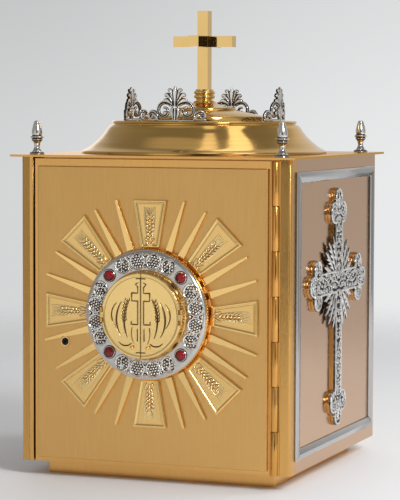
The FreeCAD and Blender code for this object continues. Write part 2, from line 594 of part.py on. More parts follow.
def palmette():
    """The front crest, bent round the bell: two pierced scrolls, a fan of leaves, end curls."""
    y = -CREST_AT - CREST_T
    through = 5 * CREST_T

    def at(u, v):
        return V(u, y, BELL_TOP + v)
    parts = [block(-27.5, 27.5, y, y + through, BELL_TOP, BELL_TOP + 2.6),
             block(-2.4, 2.4, y, y + through, BELL_TOP, BELL_TOP + 14)]
    for s in (-1, 1):
        parts.append(tube(9.9, 6.0, at(s * 11.0, 9.9), Y, through))
        parts.append(rod(3.4, at(s * 9.6, 6.8), Y, through))
        parts.append(rod(4.2, at(s * 25.6, 4.6), Y, through))
        parts.append(rod(3.4, at(s * 21.0, 4.4), Y, through))
    for angle, reach in ((90, 20.5), (66, 18.8), (114, 18.8), (42, 15.5), (138, 15.5)):
        a = math.radians(angle)
        ray = V(math.cos(a), 0, math.sin(a))
        parts.append(lens(at(0, 12.0), at(0, 12.0) + ray * reach, 4.0, Y * through))
    bent = tube(CREST_AT + CREST_T / 2, CREST_AT - CREST_T / 2, V(0, 0, BELL_TOP), Z, 40)
    return join(parts).common(bent).Solids[0]


def main():
    os.makedirs("parts", exist_ok=True)
    for group in (cabinet(), hinge(), door(), medallion(), half_doors(), luna(), lock(), sides(),
                  roof()):
        for name, shape in group.items():
            shape.exportStep(os.path.join("parts", name + ".step"))


main()
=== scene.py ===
"""Looks of the altar tabernacle: castings, engraving, turned work, finishes, light and camera."""

from math import cos, exp, hypot, pi, radians, sin

import bpy
import numpy as np
from mathutils import Matrix, Vector


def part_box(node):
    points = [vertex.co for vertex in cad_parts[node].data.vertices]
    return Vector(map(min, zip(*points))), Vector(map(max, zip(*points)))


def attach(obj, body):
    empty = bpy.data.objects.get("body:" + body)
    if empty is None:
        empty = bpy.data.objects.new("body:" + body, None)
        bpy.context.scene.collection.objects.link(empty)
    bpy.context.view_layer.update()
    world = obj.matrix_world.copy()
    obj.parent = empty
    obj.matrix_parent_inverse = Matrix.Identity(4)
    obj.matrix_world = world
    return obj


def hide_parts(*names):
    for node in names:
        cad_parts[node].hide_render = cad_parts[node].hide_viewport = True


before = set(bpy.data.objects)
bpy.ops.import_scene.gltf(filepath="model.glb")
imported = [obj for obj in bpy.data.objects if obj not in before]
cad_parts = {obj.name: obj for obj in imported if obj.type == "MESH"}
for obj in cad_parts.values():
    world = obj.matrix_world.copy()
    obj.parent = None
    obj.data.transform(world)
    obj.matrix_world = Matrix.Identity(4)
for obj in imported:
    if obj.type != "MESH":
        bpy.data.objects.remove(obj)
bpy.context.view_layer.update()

MM = 0.001
AHEAD, ACROSS, UP = Vector((0, -1, 0)), Vector((1, 0, 0)), Vector((0, 0, 1))


# ---- places, read from the frame ----
def low(node):
    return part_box(node)[0] / MM


def high(node):
    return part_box(node)[1] / MM


def middle(node):
    return (low(node) + high(node)) / 2


def height_of(node):
    return high(node).z - low(node).z


MEDALLION = middle("medallion_drum")
PANEL_Y = low("door_face_panel").y
PLATE_TOP = high("top_plate").z


def on_axis(y):
    """A point of the medallion's axis."""
    return Vector((MEDALLION.x, y, MEDALLION.z))


# ---- material helpers ----
class Nodes:
    """A node tree, and short calls that add to it."""

    def __init__(self, tree):
        self.tree = tree

    def node(self, kind, inputs=None, **settings):
        made = self.tree.nodes.new(kind)
        for key, value in settings.items():
            setattr(made, key, value)
        for key, value in (inputs or {}).items():
            self.feed(made.inputs[key], value)
        return made

    def feed(self, socket, value):
        if isinstance(value, bpy.types.NodeSocket):
            self.tree.links.new(value, socket)
        else:
            socket.default_value = value

    def remap(self, value, low_out, high_out, low_in=0.3, high_in=0.7, **settings):
        inputs = {"Value": value, "From Min": low_in, "From Max": high_in,
                  "To Min": low_out, "To Max": high_out}
        return self.node("ShaderNodeMapRange", inputs, **settings).outputs[0]

    def maths(self, operation, first, second=0.0):
        return self.node("ShaderNodeMath", {0: first, 1: second}, operation=operation).outputs[0]


class Graph(Nodes):
    """A material and short calls for its nodes."""

    def __init__(self, name):
        self.material = bpy.data.materials.new(name)
        self.material.use_nodes = True
        super().__init__(self.material.node_tree)
        self.shader = self.tree.nodes["Principled BSDF"]

    def finish(self, **values):
        """Fills the shader's sockets and gives the material."""
        for key, value in values.items():
            self.feed(self.shader.inputs[key.replace("_", " ")], value)
        return self.material

    def metal(self, colour, rough, normal, **values):
        return self.finish(Base_Color=colour, Metallic=1.0, Roughness=rough, Normal=normal, **values)

    def place(self, stretch=(1, 1, 1)):
        """Object coordinates in metres, stretched."""
        source = self.node("ShaderNodeTexCoord").outputs["Object"]
        return self.node("ShaderNodeMapping", {"Vector": source, "Scale": stretch}).outputs[0]

    def noise(self, scale, detail=4.0, roughness=0.55, stretch=(1, 1, 1)):
        inputs = {"Vector": self.place(stretch), "Scale": scale, "Detail": detail, "Roughness": roughness}
        return self.node("ShaderNodeTexNoise", inputs).outputs[0]

    def blend(self, factor, first, second):
        made = self.node("ShaderNodeMix", data_type="RGBA")
        self.feed(made.inputs["Factor"], factor)
        for socket, value in ((made.inputs[6], first), (made.inputs[7], second)):
            self.feed(socket, value if isinstance(value, bpy.types.NodeSocket) else (*value, 1))
        return made.outputs[2]

    def shift(self, value, first, second, start=0.3, end=0.7):
        """The first colour where value is under start, the second where it is over end."""
        return self.blend(self.remap(value, 0.0, 1.0, start, end), first, second)

    def bump(self, height, strength, distance, normal=None):
        inputs = {"Height": height, "Strength": strength, "Distance": distance}
        if normal is not None:
            inputs["Normal"] = normal
        return self.node("ShaderNodeBump", inputs).outputs[0]

    def attribute(self, name):
        return self.node("ShaderNodeAttribute", attribute_name=name).outputs["Fac"]


def plated(name, tone, shade, roughness, grain=(900, 900, 40), grain_depth=4e-6, spread=0.05,
           edge=(1, 1, 1, 1)):
    """Plated sheet metal: two close tones, brushed grain along one axis and uneven roughness;
    edge is its tint at grazing angles."""
    g = Graph(name)
    cloud = g.noise(9.0, detail=3.0)
    lines = g.noise(1.0, detail=3.0, roughness=0.7, stretch=grain)
    speck = g.noise(2600.0, detail=2.0)
    colour = g.shift(cloud, shade, tone)
    colour = g.blend(g.remap(lines, 0.0, 0.22), colour, tuple(c * 0.72 for c in tone))
    rough = g.maths("ADD", g.remap(cloud, roughness - spread, roughness + spread),
                    g.remap(lines, -spread * 0.6, spread * 0.6))
    soft = g.bump(speck, 0.25, 3e-6)
    return g.metal(colour, rough, g.bump(lines, 0.6, grain_depth, soft), Specular_Tint=edge)


def polished(name, tone, shade, roughness, waves=2.5e-5):
    """Polished plating: almost a mirror, with faint waves and wipe marks."""
    g = Graph(name)
    cloud = g.noise(28.0, detail=3.0)
    wipe = g.noise(160.0, detail=5.0, stretch=(1, 1, 0.25))
    colour = g.shift(cloud, shade, tone)
    rough = g.remap(wipe, roughness * 0.7, roughness * 1.5)
    return g.metal(colour, rough, g.bump(cloud, 0.35, waves))


def cast_metal(name, crown, bright, mid, dark, roughness, tarnish=1.0, pitting=3e-5):
    """Plated casting, darker with depth: the mesh says how deep each point lies. Deep points get
    patina on the silver castings and painted shade in the engraved gold's cuts; below zero are the
    crowns, which get a painted highlight."""
    g = Graph(name)
    depth = g.attribute("recess")
    grime = g.noise(420.0, detail=6.0, roughness=0.65)
    cloud = g.noise(60.0, detail=3.0)
    depth = g.maths("ADD", depth, g.remap(grime, -0.16 * tarnish, 0.16 * tarnish))
    # Painted highlight: the crowns, below zero, take the crown colour.
    upper = g.shift(depth, crown, bright, -0.4, 0.0)
    upper = g.shift(depth, upper, mid, 0.05, 0.35)
    # The deepest points take the dark colour: patina on silver, painted shade on engraved gold.
    colour = g.shift(depth, upper, dark, 0.32, 0.78)
    colour = g.blend(g.remap(cloud, 0.0, 0.2), colour, mid)
    rough = g.remap(depth, roughness, roughness + 0.35, 0.1, 0.9)
    return g.metal(colour, rough, g.bump(grime, 0.35, pitting))


def turned_metal(name, tone, shade, roughness):
    """Lathe-turned plating: fine rings round the Z axis, and duller bands between them."""
    g = Graph(name)
    source = g.node("ShaderNodeTexCoord").outputs["Object"]
    flat = g.node("ShaderNodeVectorMath", {0: source, 1: (1, 1, 0)}, operation="MULTIPLY")
    radius = g.node("ShaderNodeVectorMath", {0: flat.outputs[0]}, operation="LENGTH").outputs[1]
    height = g.node("ShaderNodeSeparateXYZ", {0: source}).outputs[2]
    path = g.maths("ADD", radius, g.maths("MULTIPLY", height, 0.8))
    rings = g.node("ShaderNodeTexNoise", {"W": path, "Scale": 2200.0, "Detail": 4.0,
                                          "Roughness": 0.7}, noise_dimensions="1D").outputs[0]
    cloud = g.noise(14.0, detail=4.0)
    colour = g.shift(cloud, shade, tone)
    colour = g.blend(g.remap(rings, 0.0, 0.25), colour, tuple(c * 0.6 for c in shade))
    rough = g.maths("ADD", g.remap(cloud, roughness - 0.03, roughness + 0.04),
                    g.remap(rings, -0.03, 0.04))
    return g.metal(colour, rough, g.bump(rings, 0.5, 6e-6))


def stippled(name, crown, tone, shade, crease_shade, roughness):
    """Gilt embossing: a punched matt ground, with a painted highlight where it stands proud and painted
    shade in its creases.
    """
    g = Graph(name)
    depth = g.attribute("recess")
    punch = g.node("ShaderNodeTexVoronoi", {"Vector": g.place(), "Scale": 900.0}).outputs[0]
    punch = g.maths("MULTIPLY", punch, depth)
    # Painted highlight on the crowns below zero, painted shade in the deepest creases.
    colour = g.shift(depth, crown, tone, -0.4, 0.0)
    colour = g.shift(depth, colour, shade, 0.1, 0.5)
    colour = g.shift(depth, colour, crease_shade, 0.58, 0.95)
    rough = g.remap(depth, roughness, roughness + 0.10, 0.0, 0.6)
    return g.metal(colour, rough, g.bump(punch, 0.7, 2.5e-5))


def red_glass():
    g = Graph("red_cabochon_glass")
    cloud = g.noise(380.0, detail=3.0)
    # Painted shade: towards the stone's edge its colour falls to near black.
    facing = g.node("ShaderNodeLayerWeight", {"Blend": 0.45}).outputs["Facing"]
    colour = g.shift(cloud, (0.36, 0.0, 0.008), (0.20, 0.0, 0.004))
    colour = g.shift(facing, colour, (0.035, 0.0, 0.0), 0.25, 0.75)
    return g.finish(Base_Color=colour, Roughness=g.remap(cloud, 0.02, 0.05), IOR=1.5,
                    Specular_IOR_Level=0.55)


def clear_glass():
    g = Graph("luna_clear_glass")
    smear = g.noise(60.0, detail=4.0)
    return g.finish(Base_Color=(0.93, 0.97, 0.96, 1), Roughness=g.remap(smear, 0.0, 0.05),
                    Transmission_Weight=1.0, IOR=1.46)


def satin_cloth():
    g = Graph("ivory_satin_board")
    weave = g.node("ShaderNodeTexWave", {"Vector": g.place((1, 0.2, 1)), "Scale": 900.0,
                                         "Distortion": 1.5}).outputs[1]
    cloud = g.noise(22.0)
    colour = g.shift(cloud, (0.70, 0.65, 0.52), (0.80, 0.76, 0.64))
    return g.finish(Base_Color=colour, Roughness=g.remap(weave, 0.36, 0.52), Sheen_Weight=0.4,
                    Normal=g.bump(weave, 0.4, 4e-5))


def dark_steel():
    g = Graph("black_lock_steel")
    wear = g.noise(900.0, detail=5.0)
    colour = g.shift(wear, (0.012, 0.012, 0.014), (0.10, 0.095, 0.09), 0.45, 0.75)
    return g.metal(colour, g.remap(wear, 0.22, 0.42), g.bump(wear, 0.3, 1e-5))


GOLD = (0.84, 0.50, 0.175)
GOLD_SHADE = (0.80, 0.47, 0.16)
MATERIALS = {
    "sheet": plated("satin_gold_sheet", (0.84, 0.48, 0.155), (0.80, 0.45, 0.14), 0.22, spread=0.03),
    # Painted shade: the posts take a slightly darker copy of the sheet gold.
    "post": plated("satin_gold_post_shaded", (0.79, 0.445, 0.135), (0.75, 0.415, 0.12), 0.28, spread=0.03),
    "sheet_flat": plated("satin_gold_plate", (0.84, 0.50, 0.17), (0.78, 0.45, 0.15), 0.20,
                         grain=(40, 900, 900), edge=(1.0, 0.82, 0.55, 1)),
    "panel": plated("satin_gold_door", GOLD, GOLD_SHADE, 0.35, grain_depth=8e-7, spread=0.03),
    # Painted shade: the side panels take a darker, pinker copy of the gold sheet, which stands for the
    # look they have at a grazing angle.
    "side_shade": plated("brushed_rose_gold", (0.67, 0.42, 0.25), (0.64, 0.40, 0.24), 0.17,
                   grain=(900, 900, 14), grain_depth=2e-6, spread=0.03),
    "polished": polished("polished_gold", (0.97, 0.68, 0.28), (0.94, 0.63, 0.24), 0.07, waves=1e-5),
    "bright": polished("bright_gold", (0.90, 0.54, 0.17), (0.84, 0.48, 0.14), 0.12, waves=6e-6),
    "hinge": polished("hinge_gold", (0.78, 0.41, 0.11), (0.70, 0.36, 0.09), 0.16),
    "backing": polished("backing_gold", (0.80, 0.50, 0.20), (0.74, 0.45, 0.17), 0.20, waves=8e-6),
    "turned": turned_metal("turned_gold", (0.80, 0.49, 0.155), (0.70, 0.42, 0.12), 0.12),
    # In each cast_metal finish the first colour is a painted highlight on the crowns; the last is patina
    # on the silver, painted shade in the engraved gold's cuts.
    "silver": cast_metal("antique_silver", (0.98, 0.97, 0.95), (0.80, 0.78, 0.75),
                         (0.30, 0.275, 0.25), (0.012, 0.010, 0.009), 0.20),
    "ring": cast_metal("satin_silver", (0.98, 0.96, 0.92), (0.66, 0.64, 0.61),
                       (0.40, 0.38, 0.355), (0.030, 0.027, 0.024), 0.24, tarnish=0.5),
    "finial": cast_metal("polished_silver", (0.94, 0.92, 0.89), (0.76, 0.735, 0.70),
                         (0.36, 0.34, 0.31), (0.02, 0.017, 0.015), 0.13, tarnish=0.6),
    "frame": plated("brushed_silver", (0.60, 0.60, 0.60), (0.50, 0.50, 0.505), 0.17,
                    grain=(500, 500, 25), grain_depth=4e-6),
    # The first colour is a painted highlight on the crowns, the last painted shade in the creases.
    "emboss": stippled("embossed_gold", (1.0, 0.82, 0.45), (0.98, 0.67, 0.26),
                       (0.93, 0.61, 0.225), (0.42, 0.19, 0.035), 0.13),
    "engraved": cast_metal("engraved_gold", (1.0, 0.76, 0.36), (1.0, 0.71, 0.29),
                           (0.90, 0.62, 0.24), (0.05, 0.025, 0.008), 0.15, tarnish=0.3, pitting=5e-6),
    "red": red_glass(),
    "glass": clear_glass(),
    "cloth": satin_cloth(),
    "lock": dark_steel(),
}


# ---- mesh helpers ----
def new_object(name, data):
    made = bpy.data.objects.new(name, data)
    bpy.context.scene.collection.objects.link(made)
    return made


def add_piece(name, points, faces, material, body, slot, nodes=(), recess=None, sharp=32.0):
    """A finished piece from points in millimetres."""
    mesh = bpy.data.meshes.new(name)
    mesh.from_pydata((np.asarray(points, float) * MM).tolist(), [], [list(f) for f in faces])
    mesh.validate()
    mesh.polygons.foreach_set("use_smooth", [True] * len(mesh.polygons))
    mesh.set_sharp_from_angle(angle=radians(sharp))
    mesh.attributes.new("recess", "FLOAT", "POINT")
    values = np.zeros(len(points), np.float32) if recess is None else recess
    mesh.attributes["recess"].data.foreach_set("value", np.asarray(values, np.float32))
    mesh.materials.append(MATERIALS[material])
    piece = new_object(name, mesh)
    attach(piece, body)
    if nodes:
        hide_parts(*nodes)
    return piece


class Heap:
    """Collects several closed shapes into one piece."""

    def __init__(self):
        self.points, self.faces, self.recess, self.count = [], [], [], 0

    def add(self, points, faces, recess=None):
        points = np.asarray(points, float)
        self.points.append(points)
        self.faces += [[i + self.count for i in f] for f in faces]
        self.recess.append(np.zeros(len(points)) if recess is None else np.asarray(recess, float))
        self.count += len(points)

    def finish(self, name, material, body, slot, nodes=(), sharp=32.0):
        return add_piece(name, np.concatenate(self.points), self.faces, material, body, slot,
                         nodes, np.concatenate(self.recess), sharp)


def placed(local, faces, origin, u, v, h):
    """Local (u, v, h) columns in the shared frame, with faces that still point outwards."""
    axes = np.array([list(u), list(v), list(h)], float)
    if np.linalg.det(axes) < 0:
        faces = [f[::-1] for f in faces]
    return np.asarray(origin, float) + local @ axes, faces


def lathe(profile, origin, axis, out, segments=128, recess=None):
    """Points and faces of a closed solid turned from (radius, height) pairs."""
    axis, out = Vector(axis), Vector(out)
    side = axis.cross(out)
    rows, points, depth = [], [], []
    for index, (r, h) in enumerate(profile):
        count = 1 if r < 1e-6 else segments
        rows.append(range(len(points), len(points) + count))
        depth += [0.0 if recess is None else recess[index]] * count
        for k in range(count):
            a = 2 * pi * k / segments
            points.append(Vector(origin) + axis * h + out * (r * cos(a)) + side * (r * sin(a)))
    if len(rows[0]) > 1 and len(rows[-1]) > 1:
        rows.append(rows[0])
    faces = []
    for a, b in zip(rows, rows[1:]):
        for k in range(segments):
            n = k + 1
            corners = (a[k % len(a)], a[n % len(a)], b[n % len(b)], b[k % len(b)])
            faces.append(list(dict.fromkeys(corners)))
    return np.array(points), faces, depth


def smooth_profile(points, per_span=5):
    """A Catmull-Rom curve through (radius, height) points."""
    p = [points[0]] + list(points) + [points[-1]]
    out = []
    for a, b, c, d in zip(p, p[1:], p[2:], p[3:]):
        for k in range(per_span):
            t = k / per_span
            out.append(tuple(0.5 * (2 * b[i] + (c[i] - a[i]) * t
                                    + (2 * a[i] - 5 * b[i] + 4 * c[i] - d[i]) * t * t
                                    + (3 * b[i] - a[i] - 3 * c[i] + d[i]) * t ** 3) for i in (0, 1)))
    return out + [tuple(points[-1])]


# ---- relief built from strokes ----
def stroke(points, radii):
    """Tapered capsules (x0, y0, r0, x1, y1, r1) along a line of points."""
    return [(*a, ra, *b, rb) for a, b, ra, rb in zip(points, points[1:], radii, radii[1:])]


def bezier(a, b, c, d, start, end, count=10, belly=0.0):
    """A cubic stroke whose radius runs from start to end and swells by belly in the middle."""
    t = np.linspace(0, 1, count + 1)[:, None]
    a, b, c, d = (np.array(p, float) for p in (a, b, c, d))
    line = (1 - t) ** 3 * a + 3 * (1 - t) ** 2 * t * b + 3 * (1 - t) * t ** 2 * c + t ** 3 * d
    t = t[:, 0]
    return stroke(line.tolist(), start + (end - start) * t + belly * np.sin(pi * t))


def spiral(centre, outer, inner, first, turns, start, end, count=22):
    """A scroll that winds in from outer to inner radius; first is its starting angle in degrees."""
    t = np.linspace(0, 1, count + 1)
    a = radians(first) + turns * 2 * pi * t
    r = outer + (inner - outer) * t ** 0.8
    line = np.stack([centre[0] + r * np.cos(a), centre[1] + r * np.sin(a)], 1)
    return stroke(line.tolist(), start + (end - start) * t)


def curves(*rows):
    """A cubic stroke for each row: x and y of its four points, its two radii and its belly."""
    return [part for *points, start, end, belly in rows
            for part in bezier(*np.reshape(points, (4, 2)), start, end, belly=belly)]


def dots(*spots):
    """A round spot for each (x, y, radius)."""
    return [(x, y, r, x + 0.01, y, r) for x, y, r in spots]


def flipped(strokes):
    """The same strokes mirrored left to right."""
    return [(-a, b, c, -d, e, f) for a, b, c, d, e, f in strokes]


def moved(strokes, x=0.0, y=0.0, angle=0.0, scale=1.0):
    """The same strokes scaled, turned by angle in degrees and shifted to x, y."""
    c, s = cos(radians(angle)) * scale, sin(radians(angle)) * scale
    return [(x + c * a - s * b, y + s * a + c * b, r * scale,
             x + c * d - s * e, y + s * d + c * e, q * scale) for a, b, r, d, e, q in strokes]


class Field:
    """A regular grid over a rectangle, and what strokes do to it."""

    def __init__(self, x0, x1, y0, y1, step):
        self.step = step
        self.xs = np.arange(x0, x1 + step / 2, step)
        self.ys = np.arange(y0, y1 + step / 2, step)
        self.x, self.y = np.meshgrid(self.xs, self.ys, indexing="ij")

    def strokes(self, parts, reach=2.0):
        """Signed distance to the strokes (up to reach outside them), their round height, and how
        near each point is to the crown of its stroke, from 0 to 1."""
        distance = np.full(self.x.shape, reach)
        height = np.zeros(self.x.shape)
        share = np.zeros(self.x.shape)
        for ax, ay, ar, bx, by, br in parts:
            pad = max(ar, br) + reach
            i0, i1 = np.searchsorted(self.xs, (min(ax, bx) - pad, max(ax, bx) + pad))
            j0, j1 = np.searchsorted(self.ys, (min(ay, by) - pad, max(ay, by) + pad))
            if i0 == i1 or j0 == j1:
                continue
            px, py = self.x[i0:i1, j0:j1] - ax, self.y[i0:i1, j0:j1] - ay
            dx, dy = bx - ax, by - ay
            t = np.clip((px * dx + py * dy) / max(dx * dx + dy * dy, 1e-9), 0, 1)
            d = np.hypot(px - t * dx, py - t * dy)
            r = ar + (br - ar) * t
            here = distance[i0:i1, j0:j1]
            np.minimum(here, d - r, out=here)
            there = height[i0:i1, j0:j1]
            np.maximum(there, np.sqrt(np.clip(r * r - d * d, 0, None)), out=there)
            crown = share[i0:i1, j0:j1]
            np.maximum(crown, np.sqrt(np.clip(1 - (d / r) ** 2, 0, None)), out=crown)
        return distance, height, share

    def solid(self, outline, top, bottom, recess):
        """Closed mesh of the cells where outline < 0, between the heights bottom and top."""
        inside = outline < self.step * 0.5
        cells = inside[:-1, :-1] & inside[1:, :-1] & inside[1:, 1:] & inside[:-1, 1:]
        used = np.zeros(inside.shape, int)
        for di, dj in ((0, 0), (1, 0), (1, 1), (0, 1)):
            used[di:di + cells.shape[0], dj:dj + cells.shape[1]] += cells
        gx, gy = np.gradient(outline, self.step)
        norm = np.clip(gx * gx + gy * gy, 0.25, None)
        rim = (used > 0) & (used < 4)
        pull = np.where(rim, np.clip(outline, -self.step * 0.7, self.step * 0.7), 0) / norm
        x, y = self.x - gx * pull, self.y - gy * pull
        index = np.full(used.shape, -1)
        kept = used > 0
        index[kept] = np.arange(kept.sum())
        total = int(kept.sum())
        upper = np.stack([x[kept], y[kept], top[kept]], 1)
        under = np.stack([x[kept], y[kept], bottom[kept]], 1)
        i, j = np.nonzero(cells)
        quad = np.stack([index[i, j], index[i + 1, j], index[i + 1, j + 1], index[i, j + 1]], 1)
        faces = quad.tolist() + (quad[:, ::-1] + total).tolist()
        edges = {}
        for q in quad:
            for a, b in zip(q, np.roll(q, -1)):
                if (b, a) in edges:
                    del edges[(b, a)]
                else:
                    edges[(a, b)] = True
        faces += [(b, a, a + total, b + total) for a, b in edges]
        depth = np.concatenate([recess[kept], recess[kept]])
        return np.concatenate([upper, under]), faces, depth


def ease(value, start, end):
    """0 below start, 1 above end, smooth between."""
    t = np.clip((value - start) / (end - start), 0, 1)
    return t * t * (3 - 2 * t)


# ---- roof crests ----
def palmette_strokes():
    """One crest: a fan of leaves over two pierced scrolls, with an acanthus curl at each end."""
    half = spiral((11.0, 9.9), 8.6, 2.9, 138, -1.12, 1.75, 1.15, 30)
    half += spiral((25.8, 4.8), 2.9, 0.8, 40, -0.9, 1.3, 0.9, 12)
    half += dots((10.2, 7.9, 2.0), (10.3, 18.6, 1.6), (8.9, 24.2, 1.6), (5.6, 28.9, 1.5))
    half += curves((1.5, 15.0, 4.0, 18.6, 6.4, 20.6, 10.2, 19.6, 1.1, 1.5, 0.9),
                   (1.0, 16.0, 2.6, 21.0, 5.0, 24.6, 8.4, 25.0, 0.9, 1.5, 1.1),
                   (0.6, 16.5, 1.4, 22.5, 2.2, 27.0, 4.9, 29.4, 0.7, 1.3, 1.0),
                   (1.8, 13.2, 4.4, 11.0, 3.0, 6.0, 1.6, 1.8, 1.0, 0.9, 0.5),
                   (18.4, 5.2, 21.0, 9.0, 24.6, 10.4, 27.6, 6.8, 1.4, 1.2, 0.8),
                   (17.6, 2.2, 21.0, 1.4, 24.0, 1.2, 28.2, 1.6, 1.4, 1.2, 0),
                   (18.8, 3.4, 20.6, 5.2, 21.8, 6.0, 23.4, 5.6, 1.3, 0.9, 0.3))
    centre = stroke([(-17, 1.2), (17, 1.2)], [1.2, 1.2]) + dots((0, 13.6, 2.1))
    centre += curves((0, 13.5, 0, 20, 0, 26, 0, 31.2, 0.9, 1.1, 1.3),
                     (0, 1.2, 0, 4, 0, 8, 0, 12.5, 1.5, 1.1, 0.5))
    return half + flipped(half) + centre


def palmette_creases():
    """Dark grooves between a crest's leaves and along its scrolls."""
    half = spiral((11.0, 9.9), 8.6, 3.2, 138, -1.0, 0.5, 0.35, 26)
    half += dots((25.4, 5.0, 0.9)) + stroke([(4.0, 2.5), (17.0, 2.5)], [0.4, 0.4])
    half += curves((0.9, 15.2, 1.5, 21, 2.0, 25.0, 3.0, 28.6, 0.3, 0.5, 0),
                   (1.2, 15.0, 2.6, 20.0, 4.2, 23.6, 6.9, 26.3, 0.3, 0.5, 0),
                   (1.5, 14.6, 3.6, 18.4, 6.2, 21.6, 9.4, 21.9, 0.3, 0.5, 0),
                   (2.2, 13.4, 4.6, 16.6, 7.0, 17.6, 9.4, 16.6, 0.35, 0.4, 0),
                   (1.1, 11.4, 1.4, 8.0, 1.4, 5.0, 1.0, 2.2, 0.4, 0.4, 0),
                   (18.9, 5.6, 21.2, 8.6, 24.4, 9.8, 27.0, 6.8, 0.35, 0.3, 0))
    return half + flipped(half)


def make_crests():
    """Four cast crests, bent round the bell's rim."""
    foot = low("crest_front").z
    thick = 1.5
    bend_r = -low("crest_front").y - thick
    field = Field(-31, 31, 0, 33, 0.26)
    outline, height, share = field.strokes(palmette_strokes())
    relief = 0.15 + (thick - 0.15) * np.clip(height / 1.4, 0, 1.0)
    away, _, _ = field.strokes(palmette_creases())
    # Patina along the grooves and the leaves' edges; their crowns go below zero for a painted highlight.
    recess = np.maximum(1 - 1.4 * ease(share, 0.3, 0.8), 1 - 1.4 * ease(away, -0.15, 0.4))
    relief = relief - 0.5 * (relief - 0.15) * (1 - ease(away, -0.3, 0.5))
    points, faces, depth = field.solid(outline, relief, -relief, recess)
    turn, out = points[:, 0] / bend_r, bend_r + points[:, 2]
    front = np.stack([out * np.sin(turn), -out * np.cos(turn), foot + points[:, 1]], 1)
    for name, angle in (("front", 0), ("right", 90), ("back", 180), ("left", 270)):
        world = front @ np.array(Matrix.Rotation(radians(angle), 3, "Z")).T
        add_piece("palmette_" + name, world, faces, "silver", "cabinet", "antique_silver",
                  ("crest_" + name,), depth, sharp=60)


# ---- side crosses ----
CROSS_BORDER, CROSS_GRID = 2.0, 0.4
LEAF_WIDTH = 2.5
CURL_GAP, CURL_STRETCH, CURL_MARGIN, CURL_TRIES = 2.35, 1.6, 1.5, 4000
LOBE_BACK, LOBE_ASIDE = 22.5, 12.6    # an end's side lobes, from its tip and from its middle


def trefoil_lobes(reach, angle):
    """The round lobes of an arm's end, whose tip lies reach from the crossing."""
    back = reach - LOBE_BACK
    lobes = dots((reach - 9.6, 0, 9.6), (back, LOBE_ASIDE, 10.4), (back, -LOBE_ASIDE, 10.4),
                 (reach - 19.0, 0, 10.5))
    return moved(lobes, angle=angle)


def leaf(length, angle, lean):
    """One leaf from the crossing, broad towards its tip, with lobes along both edges."""
    root, tip = (length * 0.45, 0), (length - 0.8, lean)
    made = stroke([(8, 0), root], [1.2, 1.5])
    made += bezier(root, (length * 0.65, 0), (length * 0.85, lean * 0.4), tip, 1.5, 0.8,
                   belly=LEAF_WIDTH - 1.2)
    for share in (0.56, 0.69, 0.82):
        for side in (-1, 1):
            start = (length * (share - 0.08), lean * share * 0.3 + side * 0.8)
            end = (length * (share + 0.04), lean * share + side * LEAF_WIDTH * 1.35)
            made += stroke([start, end], [0.9, 0.7])
    return moved(made, angle=angle)


def filigree(field, room):
    """Curls with small leaves scattered over a plate, wider than tall, and mirrored left to
    right; room is the plate's signed distance."""
    random = np.random.default_rng(7)
    seeds, made = [], []
    for _ in range(CURL_TRIES):
        x, y = random.uniform(0, field.xs[-1]), random.uniform(field.ys[0], field.ys[-1])
        i, j = int((x - field.xs[0]) / field.step), int((y - field.ys[0]) / field.step)
        near = any(hypot((x - a) / CURL_STRETCH, y - b) < CURL_GAP for a, b in seeds)
        if near or room[i, j] > -CURL_MARGIN:
            continue
        seeds.append((x, y))
        first, side = random.uniform(0, 360), random.choice((-1, 1))
        size = random.uniform(0.6, 0.85)
        curl = spiral((0, 0), 2.0, 0.4, first, side, 0.6, 0.55, count=12)
        a = radians(first)
        root = (2.0 * cos(a), 2.0 * sin(a))
        for turn, length in ((0.9, 2.2), (0.1, 1.7)):
            b = a - side * turn
            curl += stroke([root, (root[0] + length * cos(b), root[1] + length * sin(b))], [0.8, 0.3])
        wide = CURL_STRETCH * size
        curl = [(x + p * wide, y + q * size, r, x + t * wide, y + u * size, v)
                for p, q, r, t, u, v in curl]
        made += curl + (flipped(curl) if x > 1.0 else [])
    return made


def lobe_scrolls(reach, angle):
    """The larger scrolls and the bud inside a three-lobed end."""
    made = []
    for side in (-1, 1):
        centre = (reach - LOBE_BACK, side * LOBE_ASIDE)
        made += spiral(centre, 6.6, 5.6, -100 * side, side * 0.8, 0.75, 0.6)
        made += dots((*centre, 1.5))
        made += spiral((reach - 12.0, side * 3.8), 3.6, 0.8, 200, -side * 1.2, 0.7, 0.5)
    made += bezier((reach - 16, 0), (reach - 12, 0), (reach - 8, 0), (reach - 4.0, 0), 0.8, 0.5,
                   belly=0.7)
    made += dots((reach - 20.5, 0, 1.5))
    return moved(made, angle=angle)


